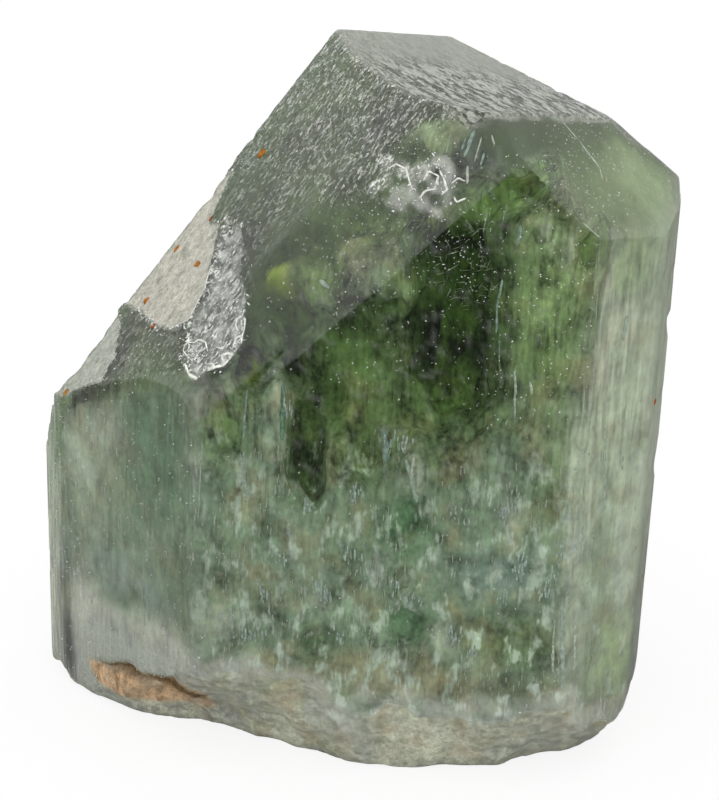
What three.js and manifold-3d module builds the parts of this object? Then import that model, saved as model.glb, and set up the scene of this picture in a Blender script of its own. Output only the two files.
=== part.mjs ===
// Diopside crystal: a stout green prism of the monoclinic system, with a sloping end and
// a broken foot. It grew as one crystal, so it is one solid.
//
// Millimetres. +Z runs up the prism, +X to the right and -Y towards the viewer. The origin
// is in the middle of the flat parting on which the crystal stands.

import * as THREE from 'three';
import { mergeVertices } from 'three/addons/utils/BufferGeometryUtils.js';
import { ImprovedNoise } from 'three/addons/math/ImprovedNoise.js';
import Module from 'manifold-3d';

// Each face lies at a distance from the origin along its outward normal. The azimuth is
// the normal's compass direction (0 to the front, positive to the right), and the tilt is
// its angle from straight up, both in degrees.
const FRONT_AZIMUTH = -3;
const LEFT_PRISM_AZIMUTH = -46.6;
const RIGHT_PRISM_AZIMUTH = 43.4;
const RIGHT_BEVEL_AZIMUTH = 68;
const RIGHT_SIDE_AZIMUTH = 89.8;
const UPRIGHT = 90;
const HALF_TURN = 180;

const PRISM_FACES = {
  front: { azimuth: FRONT_AZIMUTH, distance: 5.9 },
  leftPrism: { azimuth: LEFT_PRISM_AZIMUTH, distance: 7.3 },
  rightPrism: { azimuth: RIGHT_PRISM_AZIMUTH, distance: 10.1 },
  rightBevel: { azimuth: RIGHT_BEVEL_AZIMUTH, distance: 11.3 },
  rightSide: { azimuth: RIGHT_SIDE_AZIMUTH, distance: 11.15 },
  leftSide: { azimuth: RIGHT_SIDE_AZIMUTH - HALF_TURN, distance: 10.8 },
  back: { azimuth: FRONT_AZIMUTH + HALF_TURN, distance: 10.4 },
  backRightPrism: { azimuth: LEFT_PRISM_AZIMUTH + HALF_TURN, distance: 13 },
};

const END_FACES = {
  leftSlope: { azimuth: -65.1, tilt: 50.1, distance: 14.6 },
  rightSlope: { azimuth: 48.9, tilt: 49.6, distance: 20.95 },
  top: { azimuth: 91.3, tilt: 10.1, distance: 24.35 },
  backRightSlope: { azimuth: 109.4, tilt: 39.5, distance: 22.8 },
  backLeftSteep: { azimuth: -135.8, tilt: 73.5, distance: 11 },
};

// The broken foot, walked round the crystal by azimuth: how high the break starts on the
// prism faces, and how far in from them the flat parting begins.
const FOOT = [
  { azimuth: -96, rim: 1.5, ledge: 1.0 },
  { azimuth: -87, rim: 0.25, ledge: 0.6 },
  { azimuth: -78, rim: 0.7, ledge: 1.2 },
  { azimuth: -62, rim: 1.7, ledge: 3.0 },
  { azimuth: -40, rim: 3.2, ledge: 3.3 },
  { azimuth: -12, rim: 3.4, ledge: 2.0 },
  { azimuth: 10, rim: 3.2, ledge: 1.25 },
  { azimuth: 30, rim: 3.2, ledge: 1.3 },
  { azimuth: 42, rim: 2.5, ledge: 2.1 },
  { azimuth: 53, rim: 3.1, ledge: 2.7 },
  { azimuth: 61, rim: 1.7, ledge: 3.0 },
  { azimuth: 70, rim: 1.8, ledge: 1.8 },
  { azimuth: 78, rim: 2.5, ledge: 1.1 },
  { azimuth: 100, rim: 1.5, ledge: 1.5 },
  { azimuth: 130, rim: 2.1, ledge: 2.4 },
  { azimuth: 160, rim: 1.3, ledge: 1.8 },
  { azimuth: 190, rim: 2.2, ledge: 2.0 },
  { azimuth: 225, rim: 1.7, ledge: 1.6 },
];
const FOOT_SECTORS = 96;
const FOOT_RINGS = 7;
const FOOT_LEDGE_SHARE = 0.55;
const FOOT_CURVE = 1.15;
const FOOT_MARGIN = 1.3;
const FLAT_DIP = -0.3;
const BREAK_ROUGHNESS = 0.32;
const BREAK_GRAIN = 1.1;

// Shallow troughs that etching and small knocks left. Each is a flat ellipsoid between two
// points, sunk to its depth in the face that carries it.
const TROUGHS = [
  { on: 'leftSlope', from: [-4.9, 3.0, 19.0], to: [-7.2, 1.1, 15.5], width: 1.7, depth: 0.3 },
  { on: 'leftSlope', from: [-4.9, 1.5, 18.2], to: [-6.1, -1.2, 15.6], width: 1.8, depth: 0.36 },
  { on: 'leftSlope', from: [-4.2, -1.2, 17.6], to: [-4.5, -5.0, 15.4], width: 2.4, depth: 0.34 },
  { on: 'leftSlope', from: [-8.4, 1.2, 14.2], to: [-10.0, 0.3, 12.1], width: 1.4, depth: 0.24 },
  { on: 'leftPrism', from: [-8.9, -1.2, 1.75], to: [-5.3, -5.0, 2.65], width: 0.6, depth: 0.6 },
  { on: 'rightSide', from: [11.15, -2.4, 7.2], to: [11.15, 0.9, 6.7], width: 0.9, depth: 0.3 },
];
const TROUGH_SEGMENTS = 28;

// The block that the crystal is cut from, whose underside becomes the flat parting, and the
// larger blocks that cut it.
const STOCK_SIZE = 30;
const CUTTER_SIZE = 60;
const FOOT_CUTTER_DEPTH = 4;
const CRYSTAL_GREEN = 0x6f8263;
const CRYSTAL_ROUGHNESS = 0.3;

const wasm = await Module();
wasm.setup();
const noise = new ImprovedNoise();

function faceNormal({ azimuth, tilt = UPRIGHT }) {
  const around = THREE.MathUtils.degToRad(azimuth);
  const lean = THREE.MathUtils.degToRad(tilt);
  return new THREE.Vector3(
    Math.sin(lean) * Math.sin(around),
    -Math.sin(lean) * Math.cos(around),
    Math.cos(lean),
  );
}

// A closed geometry as a solid that can be cut. Triangles that shrink to a line where a
// pole's points meet are left out.
function solidOf(geometry) {
  geometry.deleteAttribute('normal');
  geometry.deleteAttribute('uv');
  const merged = mergeVertices(geometry);
  const corners = merged.index.array;
  const triVerts = [];
  for (let i = 0; i < corners.length; i += 3) {
    const [a, b, c] = corners.slice(i, i + 3);
    if (a !== b && b !== c && c !== a) triVerts.push(a, b, c);
  }
  return new wasm.Manifold(new wasm.Mesh({
    numProp: 3,
    vertProperties: new Float32Array(merged.attributes.position.array),
    triVerts: new Uint32Array(triVerts),
  }));
}

// Everything beyond one face: a block whose underside lies on the face's plane.
function beyondFace(face) {
  const normal = faceNormal(face);
  const block = new THREE.BoxGeometry(CUTTER_SIZE, CUTTER_SIZE, CUTTER_SIZE);
  block.translate(0, 0, CUTTER_SIZE / 2);
  const turn = new THREE.Quaternion().setFromUnitVectors(new THREE.Vector3(0, 0, 1), normal);
  block.applyQuaternion(turn);
  block.translate(...normal.multiplyScalar(face.distance));
  return solidOf(block);
}

// How far the upright faces reach from the axis in one direction.
function prismReach(azimuth) {
  let reach = STOCK_SIZE / 2;
  for (const face of Object.values(PRISM_FACES)) {
    const facing = Math.cos(THREE.MathUtils.degToRad(azimuth - face.azimuth));
    if (facing > 0) reach = Math.min(reach, face.distance / facing);
  }
  return reach;
}

// The foot's rim and ledge in one direction, eased between the two nearest entries.
function footAt(azimuth) {
  const first = FOOT[0].azimuth;
  const turned = first + THREE.MathUtils.euclideanModulo(azimuth - first, 2 * HALF_TURN);
  const next = FOOT.findIndex((entry) => entry.azimuth > turned);
  const before = FOOT.at(next < 0 ? -1 : next - 1);
  const after = next < 0 ? { ...FOOT[0], azimuth: first + 2 * HALF_TURN } : FOOT[next];
  const share = THREE.MathUtils.smoothstep(turned, before.azimuth, after.azimuth);
  return {
    rim: THREE.MathUtils.lerp(before.rim, after.rim, share),
    ledge: THREE.MathUtils.lerp(before.ledge, after.ledge, share),
  };
}

// Height of the broken surface: it rises across the ledge to the rim, and dips under the
// flat parting, which it leaves uncut.
function breakHeight(x, y) {
  const azimuth = THREE.MathUtils.radToDeg(Math.atan2(x, -y));
  const { rim, ledge } = footAt(azimuth);
  const inwards = prismReach(azimuth) - Math.hypot(x, y);
  const climb = THREE.MathUtils.clamp(1 - inwards / ledge, FLAT_DIP, 1);
  if (climb < 0) return rim * climb;
  const grain = noise.noise(x * BREAK_GRAIN, y * BREAK_GRAIN, climb);
  return rim * climb ** FOOT_CURVE + BREAK_ROUGHNESS * grain * Math.sqrt(climb);
}

// The space under the break: a drum whose upper side is pressed to the broken surface.
function brokenAway() {
  const profile = [new THREE.Vector2(0, -FOOT_CUTTER_DEPTH)];
  profile.push(new THREE.Vector2(FOOT_MARGIN, -FOOT_CUTTER_DEPTH));
  profile.push(new THREE.Vector2(FOOT_MARGIN, 0));
  for (let ring = FOOT_RINGS; ring > 0; ring -= 1) {
    profile.push(new THREE.Vector2(1 - FOOT_LEDGE_SHARE * (1 - ring / FOOT_RINGS), 0));
  }
  profile.push(new THREE.Vector2(0, 0));
  const drum = new THREE.LatheGeometry(profile, FOOT_SECTORS);
  drum.rotateX(Math.PI / 2);
  const points = drum.attributes.position;
  for (let i = 0; i < points.count; i += 1) {
    const azimuth = THREE.MathUtils.radToDeg(Math.atan2(points.getX(i), -points.getY(i)));
    const reach = prismReach(azimuth);
    const x = points.getX(i) * reach;
    const y = points.getY(i) * reach;
    const onTop = Math.abs(points.getZ(i)) < FOOT_CUTTER_DEPTH / 2;
    points.setXYZ(i, x, y, onTop ? breakHeight(x, y) : points.getZ(i));
  }
  return solidOf(drum);
}

function trough({ on, from, to, width, depth }) {
  const start = new THREE.Vector3(...from);
  const end = new THREE.Vector3(...to);
  const outward = faceNormal({ ...PRISM_FACES[on], ...END_FACES[on] });
  const along = end.clone().sub(start);
  const length = along.length();
  along.addScaledVector(outward, -along.dot(outward)).normalize();
  const across = new THREE.Vector3().crossVectors(outward, along);
  const bowl = new THREE.SphereGeometry(1, TROUGH_SEGMENTS, TROUGH_SEGMENTS / 2);
  bowl.scale(length / 2, width / 2, depth);
  bowl.applyMatrix4(new THREE.Matrix4().makeBasis(along, across, outward));
  bowl.translate(...start.add(end).multiplyScalar(0.5));
  return solidOf(bowl);
}

function crystalGeometry() {
  const stock = new THREE.BoxGeometry(STOCK_SIZE, STOCK_SIZE, STOCK_SIZE);
  stock.translate(0, 0, STOCK_SIZE / 2);
  let solid = solidOf(stock);
  for (const face of [...Object.values(PRISM_FACES), ...Object.values(END_FACES)]) {
    solid = solid.subtract(beyondFace(face));
  }
  solid = solid.subtract(brokenAway());
  for (const hollow of TROUGHS) {
    solid = solid.subtract(trough(hollow));
  }
  const { vertProperties, triVerts } = solid.getMesh();
  const geometry = new THREE.BufferGeometry();
  geometry.setAttribute('position', new THREE.BufferAttribute(vertProperties, 3));
  geometry.setIndex(new THREE.BufferAttribute(triVerts, 1));
  geometry.computeVertexNormals();
  return geometry;
}

const diopside = new THREE.MeshStandardMaterial({
  color: CRYSTAL_GREEN,
  roughness: CRYSTAL_ROUGHNESS,
  metalness: 0,
  flatShading: true,
});

const crystal = new THREE.Mesh(crystalGeometry(), diopside);
crystal.name = 'crystal';

const part = new THREE.Group();
part.name = 'diopside_crystal';
part.add(crystal);

export default part;
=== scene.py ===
import itertools
import math

import bpy
import numpy as np
from mathutils import Matrix, Vector
from mathutils.bvhtree import BVHTree


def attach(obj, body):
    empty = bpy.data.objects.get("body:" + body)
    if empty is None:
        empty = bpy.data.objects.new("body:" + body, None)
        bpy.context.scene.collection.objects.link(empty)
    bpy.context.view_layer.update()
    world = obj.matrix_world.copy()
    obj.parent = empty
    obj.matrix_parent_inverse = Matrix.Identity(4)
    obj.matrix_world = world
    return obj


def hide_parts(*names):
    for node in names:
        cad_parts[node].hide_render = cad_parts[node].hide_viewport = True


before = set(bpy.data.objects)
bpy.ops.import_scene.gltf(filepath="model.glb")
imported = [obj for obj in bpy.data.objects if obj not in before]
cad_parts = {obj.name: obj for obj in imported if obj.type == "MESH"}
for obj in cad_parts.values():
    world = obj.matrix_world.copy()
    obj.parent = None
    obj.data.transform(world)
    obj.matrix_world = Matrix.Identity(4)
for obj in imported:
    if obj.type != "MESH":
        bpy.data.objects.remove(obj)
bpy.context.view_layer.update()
MM = 0.001

# The viewer looks down 20 degrees at the broad front face from 61 mm away, through a long
# lens, with the head tipped 2 degrees.
EYE = Vector((0.637, -61.128, 34.523)) * MM
LOOK_DOWN = math.radians(20)
HEAD_TIP = math.radians(2)
LONG_LENS = 80
NEAREST_SEEN = 1 * MM

lens = bpy.data.cameras.new("viewer")
lens.lens = LONG_LENS
lens.clip_start = NEAREST_SEEN
viewer = bpy.data.objects.new("viewer", lens)
viewer.matrix_world = (
    Matrix.Translation(EYE)
    @ Matrix.Rotation(math.radians(90) - LOOK_DOWN, 4, "X")
    @ Matrix.Rotation(HEAD_TIP, 4, "Z")
)
bpy.context.scene.collection.objects.link(viewer)
bpy.context.scene.camera = viewer

# The crystal stands on a plain white light table in a studio tent, which is brightest above
# and at the viewer's side. The table looks white to the viewer, gives the crystal a softer
# light from below, and is dark in what the crystal's faces mirror.
TABLE_SIZE = 900 * MM
TABLE_DROP = 0.01 * MM
TABLE_WHITE = (0.34, 0.34, 0.34, 1)
TABLE_LIT = 0.30
TABLE_MIRRORED = (0.14, 0.14, 0.14, 1)
TABLE_GLOW = 0.84
TENT_SIDES = 1.08
TENT_RISE = 0.28
TENT_BACK = -0.50
TENT_SEEN = 1.05


def wire(tree, kind, inputs=None, **settings):
    """A node with its settings made and its inputs set or linked."""
    made = tree.nodes.new(kind)
    for name, value in settings.items():
        setattr(made, name, value)
    for name, value in (inputs or {}).items():
        if isinstance(value, bpy.types.NodeSocket):
            tree.links.new(value, made.inputs[name])
        else:
            made.inputs[name].default_value = value
    return made


def sum_of(tree, terms, start=0.0):
    """start + each socket times its amount, which may be a socket too."""
    total = start
    for socket, amount in terms:
        step = wire(tree, "ShaderNodeMath", {0: socket, 1: amount, 2: total}, operation="MULTIPLY_ADD")
        total = step.outputs[0]
    return total


def new_finish(name):
    """A new material, and its empty node tree."""
    material = bpy.data.materials.new(name)
    material.use_nodes = True
    material.node_tree.nodes.clear()
    return material, material.node_tree


half = TABLE_SIZE / 2
table_top = bpy.data.meshes.new("table")
table_corners = [(-half, -half), (half, -half), (half, half), (-half, half)]
table_top.from_pydata([(x, y, -TABLE_DROP) for x, y in table_corners], [], [(0, 1, 2, 3)])
table = bpy.data.objects.new("table", table_top)
bpy.context.scene.collection.objects.link(table)
white, tree = new_finish("white light table")
bright = wire(tree, "ShaderNodeAddShader", {
    0: wire(tree, "ShaderNodeBsdfDiffuse", {"Color": TABLE_WHITE}).outputs[0],
    1: wire(tree, "ShaderNodeEmission", {"Strength": TABLE_LIT}).outputs[0],
})
dim = wire(tree, "ShaderNodeBsdfDiffuse", {"Color": TABLE_MIRRORED})
glow = wire(tree, "ShaderNodeEmission", {"Strength": TABLE_GLOW})
lit = wire(tree, "ShaderNodeAddShader", {0: dim.outputs[0], 1: glow.outputs[0]})
path = wire(tree, "ShaderNodeLightPath").outputs
mirrored = wire(tree, "ShaderNodeMath", {
    0: path["Is Glossy Ray"], 1: path["Is Transmission Ray"],
}, operation="SUBTRACT", use_clamp=True).outputs[0]
unseen = wire(tree, "ShaderNodeMixShader", {0: mirrored, 1: bright.outputs[0], 2: dim.outputs[0]})
top = wire(tree, "ShaderNodeMixShader", {0: path["Is Camera Ray"], 1: unseen.outputs[0], 2: lit.outputs[0]})
wire(tree, "ShaderNodeOutputMaterial", {"Surface": top.outputs[0]})
table_top.materials.append(white)

tent = bpy.data.worlds.new("tent")
tent.use_nodes = True
bpy.context.scene.world = tent
tree = tent.node_tree
tree.nodes.clear()
way = wire(tree, "ShaderNodeTexCoord").outputs["Generated"]
way = wire(tree, "ShaderNodeSeparateXYZ", {0: way})
glow = sum_of(tree, [(way.outputs["Z"], TENT_RISE), (way.outputs["Y"], TENT_BACK)], TENT_SIDES)
lit = wire(tree, "ShaderNodeBackground", {"Strength": glow})
seen = wire(tree, "ShaderNodeBackground", {"Strength": TENT_SEEN})
for cloth in (lit, seen):
    cloth.inputs["Color"].default_value = (1, 1, 1, 1)
looked_at = wire(tree, "ShaderNodeLightPath").outputs["Is Camera Ray"]
sky = wire(tree, "ShaderNodeMixShader", {0: looked_at, 1: lit.outputs[0], 2: seen.outputs[0]})
wire(tree, "ShaderNodeOutputWorld", {"Surface": sky.outputs[0]})
bpy.context.scene.view_settings.view_transform = "Standard"

# The crystal: one diopside prism with a slope on its left, a smaller one on its right, a
# near-level top and a broken foot. Etching made the slope and the top matt, and growth left
# fine upright lines on the sides. Its sizes are in mm.

# The way that each face looks: its azimuth, and its tilt from straight up, in degrees.
FACES = {
    "front": (-3, 90),
    "left prism": (-46.6, 90),
    "right prism": (43.4, 90),
    "right bevel": (68, 90),
    "right side": (89.8, 90),
    "left side": (-90.2, 90),
    "back": (177, 90),
    "back right prism": (133.4, 90),
    "left slope": (-65.1, 50.1),
    "right slope": (48.9, 49.6),
    "top": (91.3, 10.1),
    "back right slope": (109.4, 39.5),
    "back left steep": (-135.8, 73.5),
}
# The marks on the faces: each one's face, how deep it is sunk, and its outline, in mm along
# and up the face.
MARKS = {
    "cream shelf": ("left slope", 0.14, [
        (-4.5, 13.6), (-3.4, 11.6), (-2.6, 11.7), (-0.9, 10.3), (-0.2, 9.6), (0.2, 8.4), (-0.3, 7.8),
        (-1.4, 7.5), (-4.4, 7.4), (-6.4, 7.1), (-7.4, 8.4), (-7.4, 13.1),
    ]),
    "frosted trough": ("left slope", 0.26, [
        (-2.4, 12.0), (-1.0, 12.2), (0.8, 11.0), (2.5, 10.2), (3.2, 8.9), (3.0, 8.0), (2.3, 7.0),
        (1.6, 7.2), (0.3, 8.5), (0.0, 9.7), (-1.4, 10.8),
    ]),
    "corner chip": ("left slope", 0.16, [
        (-4.5, 6.9), (-2.7, 5.7), (-2.5, 4.7), (-4.5, 3.2), (-6.9, 2.8), (-7.1, 5.1), (-6.8, 6.9),
    ]),
    "upper etching": ("left slope", 0, [
        (4.0, 16.6), (5.2, 16.9), (6.0, 16.4), (5.8, 15.5), (4.8, 15.3), (4.2, 15.8),
    ]),
    "lower etching": ("front", 0, [
        (2.4, 22.2), (3.3, 22.6), (4.0, 22.0), (4.1, 21.2), (3.4, 20.7), (2.6, 20.9), (2.2, 21.4),
    ]),
    "clear part": ("left slope", 0, [
        (3.0, 8.9), (2.4, 10.4), (2.0, 11.5), (2.5, 13.7), (4.9, 15.2), (4.6, 17.2), (6.3, 19.0),
        (10.5, 18.5), (9.5, 13.0), (6.0, 7.0), (3.6, 7.2),
    ]),
    "crevice with painted shade": ("left prism", 0.2, [
        (-5.5, 1.7), (-3.1, 2.6), (-2.5, 2.4), (-0.8, 3.1), (-0.1, 2.2), (-0.5, 1.8), (-1.0, 2.5),
        (-2.9, 2.0),
    ]),
    "iron stain": ("left prism", 0, [
        (-6.0, 1.6), (-3.7, 2.0), (-0.8, 3.0), (0.0, 2.4), (-0.7, 1.1), (-2.6, 0.8), (-5.2, 0.8),
    ]),
    "frosted corner": ("left prism", 0, [
        (-9.5, -1.0), (-9.5, 6.0), (-5.0, 4.6), (-1.0, 5.0), (1.6, 4.2), (1.2, 1.2), (-2.8, 0.6),
        (-5.4, -1.0),
    ]),
    "notch": ("right side", 0.5, [
        (-1.9, 7.2), (-1.0, 7.5), (0.2, 7.3), (0.9, 6.9), (0.3, 6.5), (-0.9, 6.5), (-1.7, 6.7),
    ]),
}
# How far worn faces stand out past their plane, in mm.
GROWN = {
    "left side": 0.34, "left slope": 0.28, "top": 0.12, "right side": 0.15, "back right slope": 0.12,
}
RNG = np.random.default_rng(29)
GRAIN_ORDER = RNG.permutation(256)
GRAIN_HEIGHTS = RNG.uniform(-1, 1, 256)


def falling(value, start, end):
    """1 up to start, 0 from end on, and smooth between them."""
    share = np.clip((value - start) / (end - start), 0, 1)
    return 1 - share * share * (3 - 2 * share)


def grain(points, size, seed=0):
    """Smooth random heights from -1 to 1, with bumps of one size (mm) in each direction."""
    spot = points / size + 31.7 * seed
    cell = np.floor(spot).astype(int)
    part = spot - cell
    part = part**3 * (part * (part * 6 - 15) + 10)
    height = np.zeros(len(points))
    for step in itertools.product((0, 1), repeat=3):
        at = (cell + step) & 255
        one = GRAIN_ORDER[(at[:, 0] + GRAIN_ORDER[(at[:, 1] + GRAIN_ORDER[at[:, 2]]) & 255]) & 255]
        height += GRAIN_HEIGHTS[one] * np.prod(np.where(step, part, 1 - part), axis=1)
    return height


def normal_of(azimuth, tilt):
    around, lean = math.radians(azimuth), math.radians(tilt)
    return math.sin(lean) * math.sin(around), -math.sin(lean) * math.cos(around), math.cos(lean)


solid_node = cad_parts["crystal"]
cad_corners = np.array([solid_node.matrix_world @ v.co for v in solid_node.data.vertices]) / MM
cad_faces = [tuple(face.vertices) for face in solid_node.data.polygons]
face_names = list(FACES)
normals = np.array([normal_of(*turn) for turn in FACES.values()])
reach = (cad_corners @ normals.T).max(axis=0) + [GROWN.get(face, 0) for face in FACES]
along = np.cross((0, 0, 1), normals)
along /= np.linalg.norm(along, axis=1, keepdims=True)
upward = np.cross(normals, along)


def on_face(points, face):
    """Distances along and up a face, from the middle of the foot."""
    row = face_names.index(face)
    return np.column_stack([points @ along[row], points @ upward[row]])


def corner_of(*faces):
    rows = [face_names.index(face) for face in faces]
    return np.linalg.solve(normals[rows], reach[rows])


# How far the slope's upper edge is worn down, and over what width.
ROLL_DROP = 0.62
ROLL_WIDTH = 1.7
apex = corner_of("left slope", "top", "back left steep")
shoulder = corner_of("left slope", "top", "front")
downhill = -upward[face_names.index("left slope")]


def unrolled(points):
    """The top rolls down to the slope along their edge: the same points before that."""
    edge = shoulder - apex
    share = np.clip((points - apex) @ edge / (edge @ edge), 0, 1)
    away = np.linalg.norm(points - apex - share[:, None] * edge, axis=1)
    drop = ROLL_DROP * 4 * share * (1 - share) * np.exp(-((away / ROLL_WIDTH) ** 2))
    return points - drop[:, None] * downhill


FAR = 9.0


def within(spots, outline):
    """How far each spot lies inside a closed outline, below zero outside it."""
    nearest = np.full(len(spots), FAR)
    inside = np.zeros(len(spots), dtype=bool)
    for start, end in zip(outline, outline[1:] + outline[:1]):
        line = np.subtract(end, start)
        share = np.clip((spots - start) @ line / (line @ line), 0, 1)
        nearest = np.minimum(nearest, np.linalg.norm(spots - start - share[:, None] * line, axis=1))
        if line[1]:
            crossing = start[0] + (spots[:, 1] - start[1]) * line[0] / line[1]
            inside ^= ((start[1] > spots[:, 1]) != (end[1] > spots[:, 1])) & (spots[:, 0] < crossing)
    return np.where(inside, nearest, -nearest)


RAGGED_BY = 0.1
RAGGED_SIZE = 0.45


def in_mark(points, mark):
    """How far each point lies inside a mark's ragged outline, seen along its face's normal."""
    face, _, outline = MARKS[mark]
    shake = np.column_stack([grain(points, RAGGED_SIZE, seed) for seed in (40, 41, 42)])
    return within(on_face(points + RAGGED_BY * shake, face), outline)


# A mark sinks over its bank, from just outside its outline to just inside it. Only the skin
# near its face sinks.
MARK_BANK = (-0.05, 0.22)
MARK_REACH = 1.2


def face_gaps(points):
    """How far each point lies inside each face, with the marks sunk in."""
    points = unrolled(points)
    gaps = reach - points @ normals.T
    for mark, (face, depth, _) in MARKS.items():
        if depth == 0:
            continue
        row = face_names.index(face)
        near = np.abs(gaps[:, row]) < MARK_REACH
        gaps[near, row] -= depth * (1 - falling(in_mark(points[near], mark), *MARK_BANK))
    return gaps


FOOT_GRID = 0.25
FOOT_SPANS = ((-12, 12.1), (-8, 12.1))
UNDER_FOOT = -5
# Past the solid's outline, the foot is looked for at these shares of the way out.
INWARDS = np.linspace(1, 0.3, 60)
foot_lines = [np.arange(start, end, FOOT_GRID) for start, end in FOOT_SPANS]
solid_tree = BVHTree.FromPolygons(cad_corners.tolist(), cad_faces)


def cad_foot(x, y):
    """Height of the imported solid's underside. Past its outline, the nearest height inwards."""
    for pull in INWARDS:
        struck = solid_tree.ray_cast(Vector((x * pull, y * pull, UNDER_FOOT)), Vector((0, 0, 1)))[0]
        if struck is not None:
            return struck.z
    return 0.0


foot_heights = np.array([[cad_foot(x, y) for y in foot_lines[1]] for x in foot_lines[0]])


STEP_HEIGHT = 0.55
STEP_RISE = (0.35, 0.75)
STEPPED = 0.25
# The flat middle turns into the rough rim over these heights, and the rim's lift sets in.
CLIMB = (0.02, 0.8)
RIM_FADE = (0.1, 0.5)
# The lumps' heights and sizes, and their seeds.
LUMPS = ((0.24, 1.3, 1), (0.14, 0.55, 2))
PIT_DEPTH = 0.08
PIT_SIZE = 2.2
# How far the foot's rim stands above its packed height, by the place across.
RIM_LIFT = [
    (-10.8, -0.9), (-9.9, -0.4), (-8.8, 0.14), (-7, 0.5), (-5.4, 0.4), (-3.7, 0.5), (-0.3, 0), (1.4, -0.4),
    (3, -0.35), (4.7, 0),
]


def foot_height(points):
    """The break's height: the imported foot, broken up into small steps and lumps."""
    spot = [(points[:, k] - foot_lines[k][0]) / FOOT_GRID for k in range(2)]
    spot = [np.clip(spot[k], 0, len(foot_lines[k]) - 1.001) for k in range(2)]
    cell = [s.astype(int) for s in spot]
    part = [spot[k] - cell[k] for k in range(2)]
    height = np.zeros(len(points))
    for i, j in itertools.product((0, 1), repeat=2):
        weight = (part[0] if i else 1 - part[0]) * (part[1] if j else 1 - part[1])
        height += foot_heights[cell[0] + i, cell[1] + j] * weight
    climb = 1 - falling(height, *CLIMB)
    step = np.floor(height / STEP_HEIGHT) + 1 - falling(height / STEP_HEIGHT % 1, *STEP_RISE)
    hackly = (1 - STEPPED) * height + STEPPED * STEP_HEIGHT * step
    flat = points * (1, 1, 0)
    hackly += climb * sum(high * grain(flat, size, seed) for high, size, seed in LUMPS)
    pits = PIT_DEPTH * np.clip(grain(flat, PIT_SIZE, 3), 0, 1)
    hackly += np.interp(points[:, 0], *zip(*RIM_LIFT)) * (1 - falling(height, *RIM_FADE))
    return np.maximum(hackly, 0) * climb + pits * (1 - climb)


EDGE_WEAR = 0.035
# The slope and the front meet in a rounded edge. The rounding ends away from both faces.
SHARP_EDGE = 0.01
SOFT_EDGE = 0.9
SOFT_WITHIN = (1.5, 3.5)
CHIP_DEPTH = 0.16
CHIP_SIZE = 0.9
CHIP_WITHIN = (0.02, 0.3)
CHIP_NEAR_FACE = 0.6
CHIP_NEAR_EDGE = 0.5


def faces_solid(points):
    """Above zero inside the crystal's faces, in mm near its surface."""
    gaps = face_gaps(points)
    least, second = np.partition(gaps, 1, axis=1)[:, :2].T
    slope, front = (gaps[:, face_names.index(face)] for face in ("left slope", "front"))
    soft = SHARP_EDGE + SOFT_EDGE * falling(slope, *SOFT_WITHIN) * falling(front, *SOFT_WITHIN)
    rounded = np.minimum(slope, front) - soft * np.log1p(np.exp(-np.abs(slope - front) / soft))
    worn = EDGE_WEAR * np.log(np.exp((least - gaps.T) / EDGE_WEAR).sum(axis=0))
    inside = np.minimum(least - worn, rounded)
    edge = (np.abs(least) < CHIP_NEAR_FACE) & (second - least < CHIP_NEAR_EDGE)
    chip = np.clip(grain(points[edge], CHIP_SIZE, 4) - 0.3, 0, 1)
    inside[edge] -= CHIP_DEPTH * chip * falling(second[edge] - least[edge], *CHIP_WITHIN)
    return inside


FOOT_TOP = 6
FOOT_STEEPNESS = 0.6
FOOT_ROUNDING = 0.10


def above_break(points):
    """How far each point lies above the break, measured across its average lean."""
    return (points[:, 2] - foot_height(points)) * FOOT_STEEPNESS


def crystal_solid(points):
    """Above zero inside the crystal, in mm near its surface."""
    inside = faces_solid(points)
    low = points[:, 2] < FOOT_TOP
    foot = above_break(points[low])
    rim = np.abs(foot - inside[low]) / FOOT_ROUNDING
    inside[low] = np.minimum(inside[low], foot) - FOOT_ROUNDING * np.log1p(np.exp(-rim))
    return inside


# Heights are worked out within this many cells of the skin.
NEAR_CELLS = 3.2
# Slopes are measured over this share of a cell, both ways.
NUDGE_SHARE = 0.15
# How firmly a vertex is held to the middle of its cell's crossings.
HOLD = 0.06


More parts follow.
